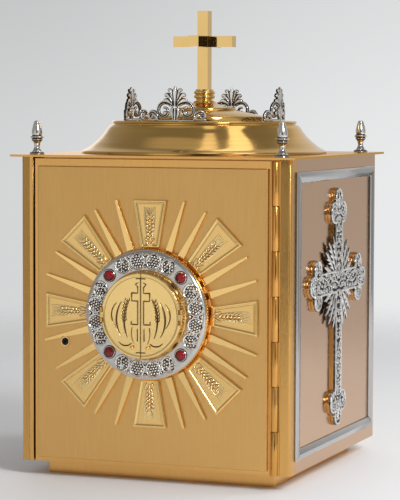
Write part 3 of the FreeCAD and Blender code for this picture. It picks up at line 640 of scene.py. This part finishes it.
def make_side_crosses():
    node = "side_cross_right"
    lowest, highest = low(node), high(node)
    backing = high("side_cross_backing_right").x
    centre_y = (lowest.y + highest.y) / 2
    arm = (highest.y - lowest.y) / 2
    beam, top_reach = 10.6, 86.7
    lobed = 18    # how much of each arm its lobes take up
    crossing = highest.z - top_reach
    down = crossing - lowest.z
    ends = ((arm, 0), (top_reach, 90), (arm, 180), (down, 270))
    field = Field(-arm - 1, arm + 1, -down - 1, top_reach + 1, CROSS_GRID)
    plate = []
    for reach, angle in ends:
        plate += trefoil_lobes(reach, angle)
    bars = [(-arm + lobed, -beam, arm - lobed, beam), (-beam, 0, beam, top_reach - lobed),
            (-beam + 1.6, -down + lobed, beam - 1.6, 0)]
    room, _, _ = field.strokes(plate, reach=6.0)
    for x0, y0, x1, y1 in bars:
        dx = np.maximum(x0 - field.x, field.x - x1)
        dy = np.maximum(y0 - field.y, field.y - y1)
        room = np.minimum(room, np.maximum(dx, dy))
    leaves = []
    for quadrant in range(4):
        for angle, length, lean in ((22, 44, -1.0), (38, 47, 0.0), (53, 47, 0.0), (69, 45, 1.0)):
            turn = angle if quadrant % 2 == 0 else 90 - angle
            leaves += leaf(length, 90 * quadrant + turn, lean if quadrant % 2 == 0 else -lean)
    leaf_part, leaf_height, leaf_share = field.strokes(leaves)
    scrolls = filigree(field, room)
    for reach, angle in ends:
        scrolls += lobe_scrolls(reach, angle)
    _, scroll_height, scroll_share = field.strokes(scrolls)
    outline = np.minimum(room, leaf_part)
    rim = 1 - ease(np.abs(room + CROSS_BORDER * 0.5), CROSS_BORDER * 0.3, CROSS_BORDER * 0.7)
    on_plate = ease(-room, -0.2, 0.3)
    body_h = 1.1 + 1.2 * np.maximum(rim, np.clip(scroll_height / 0.9, 0, 1.0))
    leaf_h = 0.7 + 1.2 * np.clip(leaf_height / 1.8, 0, 1)
    top = leaf_h * (1 - on_plate) + body_h * on_plate
    # Below zero, on the border's rim and on the crowns of scrolls and leaves, the recess gives a painted
    # highlight; the flat ground of the plate takes patina.
    raised = np.maximum(1.35 * rim, 0.12 + 1.25 * ease(scroll_share, 0.15, 0.75)) * on_plate
    raised = np.maximum(raised, 1.3 * ease(leaf_share, 0.3, 0.95) * (1 - on_plate))
    points, faces, depth = field.solid(outline, top, np.full(top.shape, 0.02), 1 - raised)
    for side, name in ((1, "right"), (-1, "left")):
        out = ACROSS * side
        origin = out * backing + Vector((0, centre_y, crossing))
        add_piece("filigree_cross_" + name, *placed(points, faces, origin, -AHEAD, UP, out),
                  "silver", "cabinet", "antique_silver", ("side_cross_" + name,), depth, sharp=60)


# ---- sunburst ----
def ear_strokes(start, length):
    """An ear of wheat along +x: stalk, two blades, three rows of kernels and long awns."""
    made = bezier((start, 0), (start + 2, 0.4), (start + 4, -0.3), (start + 7, 0), 0.7, 0.6)
    for side in (-1, 1):
        made += bezier((start, side * 0.6), (start + 2.5, side * 2.2), (start + 4, side * 3.4),
                       (start + 7.5, side * 4.4), 0.5, 0.3, belly=0.6)
    pitch, x, row = 3.5, start + 5.0, 0
    last = start + length * 0.66
    while x < last:
        size = 1.0 - 0.25 * max(0.0, (x - start - 14) / length)
        spread = 3.0 * size * min(1.0, 0.65 + 0.12 * row)
        made += bezier((x, 0), (x + 0.9, 0), (x + 1.8, 0), (x + 2.6, 0), 0.5, 0.35, count=5,
                       belly=0.62 * size)
        for side in (-1, 1):
            at = x + (1.4 if side > 0 else 1.9)
            tip = (at + 3.1, side * (spread + 0.9))
            made += bezier((at, side * spread * 0.6), (at + 0.9, side * spread * 0.85),
                           (at + 2.0, side * spread), tip, 0.5, 0.35, count=6, belly=0.66 * size)
            made += stroke([tip, (tip[0] + 4.0, tip[1] + side * 0.9),
                            (tip[0] + 8.5, tip[1] + side * 1.5)], [0.34, 0.28, 0.18])
        x += pitch
        row += 1
    for side in (-1.6, -0.7, 0.2, 1.0, 1.8):
        made += stroke([(x + 1.0, side * 0.9), (x + 5.0, side * 1.6), (x + 9.0, side * 2.1)],
                       [0.36, 0.3, 0.18])
    return made


def make_wide_rays():
    """Eight plates with a raised border, a punched ground and an ear of wheat."""
    start = 59.4
    apex, slope, border, sink, thick = 8.4, 0.171, 1.9, 0.75, 3.0
    short = high("sunburst_wide_rays").x
    heap = Heap()
    for k in range(8):
        end = short if k % 2 == 0 else short + 5.0
        field = Field(start, end + 0.5, -18, 18, 0.3)
        half = (field.x - apex) * slope
        sides = (np.abs(field.y) - half) / hypot(1, slope)
        outline = np.maximum(np.maximum(start - field.x, field.x - end), sides)
        ear = ear_strokes(start + 1.0, end - start - 4)
        _, wheat, share = field.strokes(ear)
        away, _, _ = field.strokes([part for part in ear if max(part[2], part[5]) > 0.5])
        ground = ease(-outline, border - 0.45, border + 0.45)
        line = np.exp(-((outline + border + 1.2) / 0.45) ** 2) * 0.2
        top = thick - sink * ground - 0.4 * ease(outline, -0.7, 0.0) - line
        top = top + np.clip(wheat, 0, 1.3) * ground
        # Painted shade in the creases round the kernels and in the groove inside the border, and a
        # painted highlight, below zero, on the kernels' crowns; the punched ground is a little darker in
        # its own right.
        crease_shade = (1 - ease(away, 0.1, 0.75)) * (1 - ease(share, 0.25, 0.7))
        recess = np.clip(0.45 * ground * (1 - ease(share, 0.0, 0.4)) + line, 0, 0.6)
        recess = np.maximum(recess, crease_shade * ground) - 0.5 * ground * ease(share, 0.6, 0.98)
        top = np.minimum(top, thick + 0.5)
        points, faces, depth = field.solid(outline, top, np.zeros(top.shape), recess)
        a = radians(45 * k)
        u = ACROSS * cos(a) + UP * sin(a)
        v = UP * cos(a) - ACROSS * sin(a)
        heap.add(*placed(points, faces, on_axis(PANEL_Y), u, v, AHEAD), depth)
    heap.finish("wheat_rays", "emboss", "door", "satin_gold", ("sunburst_wide_rays",), sharp=50)


# ---- medallion ----
BERRY_R, BERRY_PITCH = 1.22, 2.6


def berries(x, y, spread):
    """Round berries packed in a circle."""
    made = []
    for row in range(-3, 4):
        for step in range(-3, 4):
            across = (step + 0.5 * (row % 2)) * BERRY_PITCH
            up = row * BERRY_PITCH * 0.87
            if hypot(across, up) < spread:
                made += dots((x + across, y + up, BERRY_R))
    return made


def vine_leaf(x, y, angle, size):
    """A leaf with five pointed lobes."""
    made = []
    for turn, length in ((0, 5.0), (52, 4.4), (-52, 4.4), (112, 3.4), (-112, 3.4)):
        a = radians(turn + 90)
        made += stroke([(0, -1.0), (length * cos(a), -1.0 + length * sin(a))], [1.15, 0.75])
    return moved(made, x, y, angle, size)


def ring_strokes():
    """Ornament of one quarter of the ring: x runs along the arc, y runs outwards."""
    raised, fruit = [], []
    for side in (-1, 1):
        inner, outer = side * 7.7, side * 22.6
        raised += spiral((inner, 0), 6.8, 6.6, 95 if side > 0 else 85, side * 0.95, 0.9, 0.9, 34)
        raised += spiral((outer, 0), 6.7, 6.3, 80 if side > 0 else 100, side * 0.92, 0.9, 0.8, 34)
        raised += bezier((outer - side * 1.5, 6.4), (outer + side * 2.0, 3.5),
                         (outer + side * 0.5, -1.5), (outer + side * 4.6, -4.2), 0.75, 0.55)
        for up in (-1, 1):
            raised += bezier((side * 14.4, up * 4.4), (side * 15.2, up * 7.3),
                             (side * 16.0, up * 7.3), (side * 16.6, up * 4.2), 0.6, 0.6)
        raised += dots((side * 15.2, 0, 1.05), (side * 15.2, 2.9, 0.9), (side * 15.2, -2.9, 0.9))
        fruit += berries(inner + side * 0.4, -0.2, 5.4)
        fruit += berries(outer - side * 3.2, -1.2, 3.6)
        fruit += berries(outer + side * 3.2, 2.0, 3.0)
        fruit += vine_leaf(outer - side * 1.2, 3.6, side * 35, 0.62)
        fruit += vine_leaf(inner - side * 4.2, 2.4, side * 60, 0.45)
        fruit += stroke([(outer + side * 1.0, -4.6), (outer + side * 3.0, -2.4)], [1.0, 0.5])
    raised += dots((0, 5.2, 1.2), (0, -5.2, 1.2), (0, 2.3, 0.9), (0, -2.3, 0.9))
    return raised, fruit


def make_ring():
    """Silver ring: bevelled border and four sunk panels of grapes and vine."""
    r_in, r_out = 39.3, high("medallion_ring").x - 0.05
    thick = high("medallion_ring").y - low("medallion_ring").y
    mid_r = 48.4
    quarter = mid_r * pi / 2
    field = Field(-quarter / 2, quarter / 2, -10, 10, 0.3)
    raised, fruit = ring_strokes()
    _, vine_height, vine_share = field.strokes(raised)
    _, fruit_height, fruit_share = field.strokes(fruit)
    away, _, _ = field.strokes(raised + fruit)
    lobes = [(side * x, 0, r) for side in (-1, 1)
             for x, r in ((7.7, 6.8), (22.6, 6.7), (15.3, 5.6), (0, 5.4))]
    pan, _, _ = field.strokes(dots(*lobes), reach=3.0)
    columns, rows = 1180, 52
    theta = (np.arange(columns) + 0.5) / columns * 2 * pi
    rho = np.linspace(r_in, r_out, rows)
    arc = ((theta + pi / 4) % (pi / 2) - pi / 4) * mid_r
    fi = np.clip(((arc - field.xs[0]) / field.step), 0, len(field.xs) - 2)
    fj = np.clip(((rho - mid_r - field.ys[0]) / field.step), 0, len(field.ys) - 2)

    def sample(values):
        i, j = fi.astype(int)[:, None], fj.astype(int)[None, :]
        s, t = (fi % 1)[:, None], (fj % 1)[None, :]
        return ((1 - s) * (1 - t) * values[i, j] + s * (1 - t) * values[i + 1, j]
                + (1 - s) * t * values[i, j + 1] + s * t * values[i + 1, j + 1])
    sunk = ease(-sample(pan), -0.3, 0.3)
    relief = np.maximum(np.clip(sample(vine_height), 0, 0.9) * 1.2,
                        np.clip(sample(fruit_height), 0, 1.3) * 1.1)
    share = np.maximum(sample(vine_share), sample(fruit_share))
    bevel = 1.5 * (1 - ease(r_out - rho, 0.0, 3.4)) ** 1.5
    inner_lip = 0.5 * (1 - ease(rho - r_in, 0.0, 0.9))
    top = thick - bevel - inner_lip - 0.85 * sunk + relief
    # Patina in the sunk panels, deepest round the vine and berries; their crowns go below zero for a
    # painted highlight.
    ground = 0.42 + 0.58 * (1 - ease(sample(away), 0.2, 0.8))
    recess = sunk * ground * (1 - 1.5 * ease(share, 0.25, 0.8))
    # The last two columns are the flat back's edges.
    rho = np.append(rho, (r_out, r_in))
    top, recess = (np.pad(values, ((0, 0), (0, 2))) for values in (top, recess))
    points = np.stack([np.outer(np.cos(theta), rho), np.outer(np.sin(theta), rho), top], 2)
    here = np.arange(top.size).reshape(top.shape)
    after = np.roll(here, -1, axis=0)
    faces = np.stack([np.roll(here, 1, axis=1), here, after, np.roll(after, 1, axis=1)], 2)
    points, faces = points.reshape(-1, 3), faces.reshape(-1, 4).tolist()
    origin = on_axis(high("medallion_ring").y)
    add_piece("vine_ring", *placed(points, faces, origin, ACROSS, UP, AHEAD), "ring", "door",
              "antique_silver", ("medallion_ring",), recess.ravel(), sharp=50)


def make_stones():
    """Four cabochons with stepped silver bezels, set on the ring."""
    seat = high("cabochon_settings").y
    circle, count, stone_r = 48.5, 4, 4.7
    bezels, stones = Heap(), Heap()
    bezel = [(4.75, 0.0), (6.1, 0.0), (6.15, 0.45), (5.9, 0.8), (5.6, 0.85), (5.45, 1.5),
             (5.15, 1.75), (4.85, 1.6), (4.75, 1.0)]
    tone = [0, 0, 0.2, 0.85, 0.9, 0.1, 0, 0.2, 0.9]
    stone = [(0, 0), (stone_r, 0), (stone_r, 0.5)]
    stone += [(stone_r * cos(a), 0.5 + 2.7 * sin(a))
              for a in np.linspace(0.15, pi / 2 - 0.12, 10)] + [(0, 3.2)]
    for k in range(count):
        a = radians(45 + 90 * k)
        origin = on_axis(seat + 0.2) + circle * (ACROSS * cos(a) + UP * sin(a))
        bezels.add(*lathe(bezel, origin, AHEAD, ACROSS, 48, tone))
        stones.add(*lathe(stone, origin, AHEAD, ACROSS, 48))
    bezels.finish("stone_bezels", "silver", "door", "antique_silver", ("cabochon_settings",))
    stones.finish("red_stones", "red", "door", "red_glass", ("cabochons",), sharp=60)


def make_drum():
    """Gilt drum with a beaded edge behind the silver ring."""
    front, back = low("medallion_drum").y, high("medallion_drum").y
    inner, outer = 38.9, high("medallion_drum").x
    origin = on_axis(back)
    depth = back - front
    profile = [(outer - 0.6, 0.0), (outer, 0.5), (outer - 0.5, 1.2), (outer - 1.3, 2.0),
               (outer - 1.5, 3.4), (outer - 1.5, depth - 3.4), (outer - 0.9, depth - 2.8),
               (outer - 0.9, depth - 0.4), (outer - 1.4, depth), (inner, depth),
               (inner, depth - 2.0), (outer - 3.5, depth - 2.0), (outer - 3.5, 0.0)]
    heap = Heap()
    heap.add(*lathe(profile, origin, AHEAD, ACROSS, 192))
    beads, bead_r = 150, 0.95
    ball = [(0.0, -bead_r)] + [(bead_r * cos(a), bead_r * sin(a))
                               for a in np.linspace(-1.1, 1.1, 6)] + [(0.0, bead_r)]
    for k in range(beads):
        a = 2 * pi * k / beads
        out = ACROSS * cos(a) + UP * sin(a)
        centre = origin + AHEAD * (depth - 1.6) + out * (outer - bead_r)
        heap.add(*lathe(ball, centre, out, AHEAD, 8))
    heap.finish("beaded_drum", "bright", "door", "polished_gold", ("medallion_drum",), sharp=40)


HINGE_X, HINGE_Y = 38.2, -155.6    # upright axis of the right half-door
PIN_R, BARREL_R = 0.65, 1.5


def engraving():
    """Generic ornament of the right-hand half: half a double-lined cross, a stalk and blades."""
    pen = 0.5
    made = stroke([(2.8, 9.5), (2.8, -7.5), (9.0, -7.5), (9.0, -5.0)], [pen] * 4)
    made += stroke([(2.8, 9.5), (2.8, 13.4), (8.6, 13.4), (8.6, 20.4), (2.8, 20.4), (2.8, 26.0)],
                   [pen, pen, 0.35, 0.65, 0.35, pen])
    made += stroke([(3.2, 26.0), (5.0, 28.4), (2.6, 29.6)], [pen, pen, 0.3])
    made += stroke([(3.2, -11.5), (3.2, -22.0)], [pen, 0.65])
    made += stroke([(0.6, 33.2), (4.4, 33.2)], [0.5, 0.4])
    made += stroke([(0.6, -32.6), (4.4, -32.6)], [0.5, 0.4])
    made += bezier((8.4, -10.5), (9.4, -15), (8.6, -20), (6.6, -24.5), pen, 0.3, count=8)
    made += curves((13.0, -19, 17.4, -8, 16.6, 4, 12.4, 14.5, 0.45, 0.35, 0.5),
                   (19.0, -18, 25.4, -8, 24.4, 4, 18.4, 12.5, 0.35, 0.3, 0.6),
                   (24.0, -10.0, 30.2, -2, 28.8, 6, 23.4, 11.0, 0.3, 0.3, 0.35),
                   (9.0, -24.5, 13, -28, 18, -27, 21, -23.5, 0.4, 0.3, 0.25))
    for k in range(7):
        z = -5.0 + 2.9 * k
        x = 16.0 - 0.035 * (z + 2) ** 2 / 2.2
        for side in (-1, 1):
            made += bezier((x, z), (x + side * 1.6, z + 0.6), (x + side * 2.3, z + 2.0),
                           (x + side * 1.7, z + 3.4), 0.3, 0.25, count=5, belly=0.3)
    return made


def make_half_doors():
    """Two half-discs with a raised rim and cut ornament; the knuckle is at the outer edge."""
    node = "half_door_right"
    radius = 37.9
    split = low(node).x
    back = -155.0
    thick = 1.4
    notch, lug = 7.2, 2.4
    field = Field(split - 0.3, radius + 0.6, -radius - 0.6, radius + 0.6, 0.28)
    disc = np.hypot(field.x, field.y) - radius
    outline = np.maximum(disc, split - field.x)
    cut = np.maximum(HINGE_X - 2.2 - field.x, np.abs(field.y) - notch)
    tongue = np.maximum(HINGE_X - 3 - field.x, np.abs(field.y) - lug)
    tongue = np.maximum(tongue, field.x - HINGE_X + 0.6)
    outline = np.minimum(np.maximum(outline, -cut), tongue)
    distance, _, _ = field.strokes(engraving(), reach=1.5)
    rim = 0.28 * ease(disc, -2.2, -1.6) - 0.45 * ease(disc, -0.5, 0.0)
    seam = -0.25 * (1 - ease(field.x, split, split + 0.5))
    circle = np.abs(disc + 3.0)
    groove = 0.22 * (1 - ease(circle, 0.15, 0.4))
    top = thick - 0.6 * (1 - ease(distance, -0.35, 0.12)) + rim + seam - groove
    # Painted shade in the cut lines and the circular groove, and a painted shadow along the seam between
    # the two half-discs.
    dark = 1 - ease(distance, -0.3, 0.12)
    dark = np.maximum(dark, 0.3 * (1 - ease(circle, 0.15, 0.5)))
    dark = np.maximum(dark, 0.6 * (1 - ease(field.x, split, split + 0.35)))
    points, faces, depth = field.solid(outline, top, np.zeros(top.shape), dark)
    barrel = [(PIN_R, -lug), (BARREL_R, -lug), (BARREL_R, lug), (PIN_R, lug)]
    for side, name in ((1, "right"), (-1, "left")):
        heap = Heap()
        heap.add(*placed(points, faces, on_axis(back), ACROSS * side, UP, AHEAD), depth)
        centre = on_axis(HINGE_Y) + ACROSS * side * HINGE_X
        heap.add(*lathe(barrel, centre, UP, ACROSS, 24))
        heap.finish("engraved_half_disc_" + name, "engraved", "half_door_" + name,
                    "polished_gold", ("half_door_" + name,), sharp=50)


def make_collar():
    """Gilt tube between ring and half-doors, flared at its foot, with the fixed knuckles."""
    front, back = -154.8, high("medallion_collar").y
    r_in, r_out = 36.0, 38.5
    seat = low("medallion_ring").y
    origin = on_axis(back)
    reach = back - front
    rise = back - seat
    profile = [(r_in, 0), (r_out, 0), (r_out, rise - 0.6), (r_out + 1.6, rise - 0.4),
               (r_out + 1.5, rise + 0.5), (r_out + 0.7, rise + 1.3), (r_out + 0.1, rise + 2.4),
               (r_out - 0.5, rise + 4.0), (r_out - 0.6, reach - 1.6), (r_out - 0.2, reach - 1.1),
               (r_out - 0.3, reach - 0.3), (r_out - 0.9, reach), (r_in + 0.3, reach), (r_in, reach - 0.3)]
    heap = Heap()
    heap.add(*lathe(profile, origin, AHEAD, ACROSS, 160))
    for side in (-1, 1):
        for first, last in ((-6.8, -2.8), (2.8, 6.8)):
            centre = on_axis(HINGE_Y) + ACROSS * side * HINGE_X
            knuckle = [(PIN_R, first), (1.3, first), (BARREL_R, first + 0.2),
                       (BARREL_R, last - 0.2), (1.3, last), (PIN_R, last)]
            heap.add(*lathe(knuckle, centre, UP, ACROSS, 24))
    heap.finish("gilt_collar", "bright", "door", "polished_gold", ("medallion_collar",), sharp=40)


# ---- turned work ----
BORE_R = 3.2    # clears the tie bolt


def turned_piece(name, node, profile, segments, material, slot, sharp):
    """A piece turned about the upright axis, which stands where its node does."""
    points, faces, _ = lathe(profile, (0, 0, low(node).z), UP, ACROSS, segments)
    add_piece(name, points, faces, material, "cabinet", slot, (node,), sharp=sharp)


def make_roof_turnings():
    bell_r = high("dome_bell").x
    shelf = low("dome_cap").z - PLATE_TOP
    flare = smooth_profile([(114.9, 2.7), (108.8, 5.8), (102.8, 10.6), (97.8, 15.2),
                            (94.2, 19.6), (91.2, 24.0), (89.0, 26.4)], 8)
    bell = [(bell_r - 1.6, 0), (bell_r - 0.3, 0), (bell_r, 0.3), (bell_r, 1.7),
            (bell_r - 0.4, 2.3)] + flare
    bell += [(86.9, 26.7), (86.6, 27.1), (86.7, 27.7)]
    bell += [(86.2 + 1.3 * cos(a), 29.2 + 1.3 * sin(a)) for a in np.linspace(-1.2, 2.2, 12)]
    bell += [(84.6, shelf), (BORE_R, shelf), (BORE_R, shelf - 1.6), (84.9, shelf - 1.6), (84.9, 25.2),
             (89.6, 22.6), (95.6, 15.6), (101.0, 10.2), (107.0, 5.2), (112.6, 2.2)]
    turned_piece("turned_bell", "dome_bell", bell, 224, "turned", "turned_gold", 28)

    cap_r = high("dome_cap").x
    rise = height_of("dome_cap")
    cap = [(cap_r - 1.6, 0), (cap_r - 0.3, 0), (cap_r, 0.3), (cap_r, 4.0), (cap_r - 0.3, 4.6),
           (cap_r - 0.9, 5.0), (30.5, 10.5), (30.2, 10.9), (30.2, 12.0), (29.9, 12.6), (29.2, 13.0)]
    cap += smooth_profile([(28.0, 13.1), (20.0, 14.4), (12.8, 16.6), (10.0, rise)], 8)
    cap += [(BORE_R, rise), (BORE_R, rise - 3), (20.0, 12.2), (29.0, 9.0), (cap_r - 1.6, 3.4)]
    turned_piece("turned_cap", "dome_cap", cap, 192, "turned", "turned_gold", 28)

    tall = height_of("neck_collar")
    beads = smooth_profile([(9.2, 0.3), (8.0, 1.2), (8.4, 2.4), (9.8, 3.2), (10.2, 4.4),
                            (9.8, 5.6), (8.7, 6.3), (9.8, 7.0), (10.2, 8.2), (9.8, 9.4), (8.8, 10.2)], 6)
    neck = [(BORE_R, 0), (9.2, 0)] + beads + [(8.8, tall - 0.2), (8.6, tall), (BORE_R, tall)]
    turned_piece("neck_beads", "neck_collar", neck, 96, "polished", "polished_gold", 40)


def make_finials():
    """Four cast acorns on waisted stems."""
    profile = [(0, -2.0), (1.7, -2.0), (1.7, 0.0), (6.7, 0.0), (7.0, 0.4), (6.8, 1.2)]
    profile += smooth_profile([(6.0, 1.7), (4.2, 3.2), (2.9, 5.6), (2.65, 7.6), (3.1, 10.2),
                               (4.3, 12.2)], 5)
    profile += [(4.9, 12.7), (5.1, 13.3), (4.8, 13.9), (4.3, 14.2), (5.2, 14.6), (6.1, 15.2),
                (6.25, 15.7), (5.9, 16.3), (4.7, 16.8), (4.35, 17.1)]
    profile += smooth_profile([(4.5, 17.9), (4.85, 19.6), (4.6, 22.4), (4.0, 25.2), (3.3, 27.8),
                               (2.9, 29.0)], 5)
    profile += [(2.9, 29.5), (2.2, 30.3), (1.2, 30.85), (0, 31.0)]
    grooves = (1.5, 14.2, 17.0, 12.4)
    tone = [max(exp(-((h - g) / 0.45) ** 2) for g in grooves) * 0.9
            + 0.25 * exp(-((h - 4.5) / 1.5) ** 2) for _, h in profile]
    centre = middle("corner_finials")
    reach = high("corner_finials").x - centre.x - 7.0
    heap = Heap()
    for sx in (-1, 1):
        for sy in (-1, 1):
            at = Vector((centre.x + sx * reach, centre.y + sy * reach, PLATE_TOP))
            heap.add(*lathe(profile, at, UP, ACROSS, 48, tone))
    heap.finish("acorn_finials", "finial", "cabinet", "antique_silver", ("corner_finials",), sharp=45)


# ---- CAD nodes that stay ----
FINISHES = {
    "sheet": ["plinth", "strike_rail", "back_panel", "door_pan", "door_sill", "door_header"],
    "post": ["front_post_left", "front_post_right"],
    "sheet_flat": ["top_plate", "floor_plate"],
    "panel": ["door_face_panel"],
    "side_shade": ["side_panel_left", "side_panel_right"],
    "emboss": ["sunburst_thin_rays"],
    "polished": ["roof_cross", "knob_left", "knob_right", "luna_cradle", "lock_barrel",
                 "hinge_screws_body", "hinge_screws_door", "half_door_pins"],
    "bright": ["luna_ring"],
    "hinge": ["hinge_leaf_body", "hinge_leaf_door", "hinge_pin"],
    "backing": ["side_cross_backing_left", "side_cross_backing_right"],
    "frame": [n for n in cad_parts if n.startswith("side_frame_")],
    "glass": ["luna_glass"],
    "cloth": ["interior_board"],
    "lock": ["lock_plug", "lock_cam", "lock_nut", "tie_bolt"],
}
EDGE_WIDTHS = {
    0.6: FINISHES["frame"],
    0.5: ["roof_cross", "top_plate", "plinth"],
    0.4: FINISHES["post"] + FINISHES["side_shade"] + FINISHES["backing"] + FINISHES["panel"]
         + ["door_pan", "back_panel"],
    0.3: ["strike_rail"],
    0.25: FINISHES["emboss"],
    0.2: ["hinge_leaf_body", "hinge_leaf_door"],
}


def add_modifier(node, kind, **settings):
    modifier = node.modifiers.new(kind.lower(), kind)
    for key, value in settings.items():
        setattr(modifier, key, value)


def soften(name, width):
    """Rounds a node's sharp edges by width in millimetres."""
    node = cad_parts[name]
    add_modifier(node, "WELD", merge_threshold=1e-6)
    if name == "top_plate":
        # Slivers between its screw holes would spoil the bevel.
        add_modifier(node, "DECIMATE", decimate_type="DISSOLVE", angle_limit=radians(0.1))
    add_modifier(node, "BEVEL", width=width * MM, segments=2, limit_method="ANGLE",
                 angle_limit=radians(35), harden_normals=True)
    if name == "top_plate":
        add_modifier(node, "WEIGHTED_NORMAL", mode="FACE_AREA", weight=100)


def finish_nodes():
    """Gives every CAD node that stays its material, and rounds its sharp edges slightly."""
    for material, names in FINISHES.items():
        for name in names:
            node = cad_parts[name]
            node.data.materials.clear()
            node.data.materials.append(MATERIALS[material])
    for width, names in EDGE_WIDTHS.items():
        for name in names:
            soften(name, width)


# ---- stage, light, camera ----
CAMERA_AZIMUTH, CAMERA_DISTANCE, CAMERA_HEIGHT = 20.92, 2.0236, 0.3390
CAMERA_PITCH, CAMERA_ROLL, CAMERA_LENS, CAMERA_SHIFT = 3.8754, 0.18, 153.67, -0.0078


def make_camera():
    a, p = radians(CAMERA_AZIMUTH), radians(CAMERA_PITCH)
    data = bpy.data.cameras.new("camera")
    data.lens = CAMERA_LENS
    data.sensor_width = 36.0
    data.shift_x = CAMERA_SHIFT
    data.clip_end = 100
    camera = new_object("camera", data)
    camera.location = (CAMERA_DISTANCE * sin(a), -CAMERA_DISTANCE * cos(a), CAMERA_HEIGHT)
    look = Vector((-sin(a) * cos(p), cos(a) * cos(p), -sin(p)))
    camera.rotation_mode = "QUATERNION"
    roll = Matrix.Rotation(radians(CAMERA_ROLL), 4, "Z").to_quaternion()
    camera.rotation_quaternion = look.to_track_quat("-Z", "Y") @ roll
    bpy.context.scene.camera = camera


BACKDROP, DAYLIGHT = (0.985, 0.995, 1.0), (1.0, 0.99, 0.97)
# A soft key and fill for the table, and a small lamp for the metal's highlights: place, size,
# power, and whether it shows in reflections only.
LAMPS = {"key": ((1.50, -0.82, 1.35), 0.9, 29.0, False),
         "spark": ((1.19, -1.19, 1.04), 0.42, 7.0, True),
         "fill": ((1.30, 0.90, 1.20), 0.8, 8.0, False)}
# Overhead strips, which draw bands on the turned roof: place, size, turn about Z, power.
STRIPS = (((0.36, 0.23, 1.50), (0.29, 1.55), 39.0, 2.1), ((0.02, 0.10, 1.50), (0.16, 1.2), 25.0, 0.55))
FLOOR_TONE, FLOOR_SHADE = (0.87, 0.88, 0.905), (0.85, 0.86, 0.885)
FLOOR_NEAR, FLOOR_FAR = 0.75, 1.7


def make_world():
    """Soft studio surroundings, and the pale backdrop that the camera sees."""
    world = bpy.data.worlds.new("studio")
    bpy.context.scene.world = world
    world.use_nodes = True
    g = Nodes(world.node_tree)
    g.tree.nodes.clear()
    direction = g.node("ShaderNodeTexCoord").outputs["Generated"]

    def lobe(towards, start, end, strength):
        """A soft patch of light (or of shade) round a direction."""
        towards = Vector(towards).normalized()
        along = g.node("ShaderNodeVectorMath", {0: direction, 1: towards}, operation="DOT_PRODUCT")
        return g.remap(along.outputs["Value"], 0.0, strength, start, end, interpolation_type="SMOOTHSTEP")

    def total(first, parts):
        for part in parts:
            first = g.maths("ADD", part, first)
        return first

    surroundings = total(0.36, [
        lobe((0.0, 1.0, 0.1), 0.55, 0.95, 0.16),
        lobe((-0.2, 0.95, 0.45), 0.80, 0.97, 0.20),
        lobe((-0.55, 0.835, 0.04), 0.962, 0.99, 0.50),
        lobe((-0.30, -0.954, 0.0), 0.94, 0.998, 0.41),
        lobe((0.90, -0.43, 0.0), 0.84, 0.94, 0.30),
        lobe((0.50, -0.86, 0.05), 0.86, 0.98, -0.06),
        lobe((0.357, -0.934, -0.02), 0.955, 0.992, -0.28),
        lobe((0.0, 0.0, 1.0), 0.35, 0.90, -0.12),
        lobe((-0.26, 0.12, 0.96), 0.93, 0.995, 0.25),
        lobe((0.0, 0.0, -1.0), 0.0, 0.12, 0.08)])
    # Painted light falloff on the backdrop the camera sees: brighter towards the right, darker towards
    # the top.
    backdrop = total(0.66, [lobe((0.934, 0.357, 0.0), -0.13, 0.13, 0.18),
                            lobe((0.0, 0.0, 1.0), -0.04, 0.08, -0.12)])
    light = g.node("ShaderNodeBackground", {"Color": (*DAYLIGHT, 1), "Strength": surroundings})
    seen = g.node("ShaderNodeBackground", {"Color": (*BACKDROP, 1), "Strength": backdrop})
    ray = g.node("ShaderNodeLightPath").outputs["Is Camera Ray"]
    mix = g.node("ShaderNodeMixShader", {0: ray, 1: light.outputs[0], 2: seen.outputs[0]})
    g.node("ShaderNodeOutputWorld", {"Surface": mix.outputs[0]})


def make_floor():
    """Pale table top that melts into the backdrop away from the object."""
    g = Graph("pale_floor")
    source = g.node("ShaderNodeTexCoord").outputs["Object"]
    away = g.node("ShaderNodeVectorMath", {0: source}, operation="LENGTH").outputs["Value"]
    fade = g.remap(away, 0.0, 1.0, FLOOR_NEAR, FLOOR_FAR, interpolation_type="SMOOTHSTEP")
    colour = g.shift(g.noise(3.0), FLOOR_SHADE, FLOOR_TONE)
    g.finish(Base_Color=colour, Roughness=0.6)
    clear = g.node("ShaderNodeBsdfTransparent")
    mix = g.node("ShaderNodeMixShader", {0: fade, 1: g.shader.outputs[0], 2: clear.outputs[0]})
    g.tree.links.new(mix.outputs[0], g.tree.nodes["Material Output"].inputs["Surface"])
    mesh = bpy.data.meshes.new("floor")
    reach = FLOOR_FAR + 0.1
    mesh.from_pydata([(-reach, -reach, 0), (reach, -reach, 0), (reach, reach, 0),
                      (-reach, reach, 0)], [], [(0, 1, 2, 3)])
    mesh.materials.append(g.material)
    new_object("floor", mesh)


def area_light(name, shape, size, place, power):
    data = bpy.data.lights.new(name, "AREA")
    data.shape = shape
    data.size, data.size_y = size
    data.energy = power
    light = new_object(name, data)
    light.location = place
    light.visible_camera = False
    return light


def make_light():
    for name, (place, size, power, mirrored) in LAMPS.items():
        lamp = area_light(name, "DISK", (size, size), place, power)
        aim = Vector((0, 0, 0.15)) - lamp.location
        lamp.rotation_euler = aim.to_track_quat("-Z", "Y").to_euler()
        lamp.visible_glossy = mirrored
        lamp.visible_diffuse = not mirrored
    for place, size, turn, power in STRIPS:
        strip = area_light("strip", "RECTANGLE", size, place, power)
        strip.rotation_euler = (0, 0, radians(turn))


make_camera()
make_world()
make_floor()
make_light()
finish_nodes()
make_crests()
make_side_crosses()
make_wide_rays()
make_ring()
make_stones()
make_drum()
make_collar()
make_half_doors()
make_roof_turnings()
make_finials()
bpy.context.scene.view_settings.view_transform = "Standard"
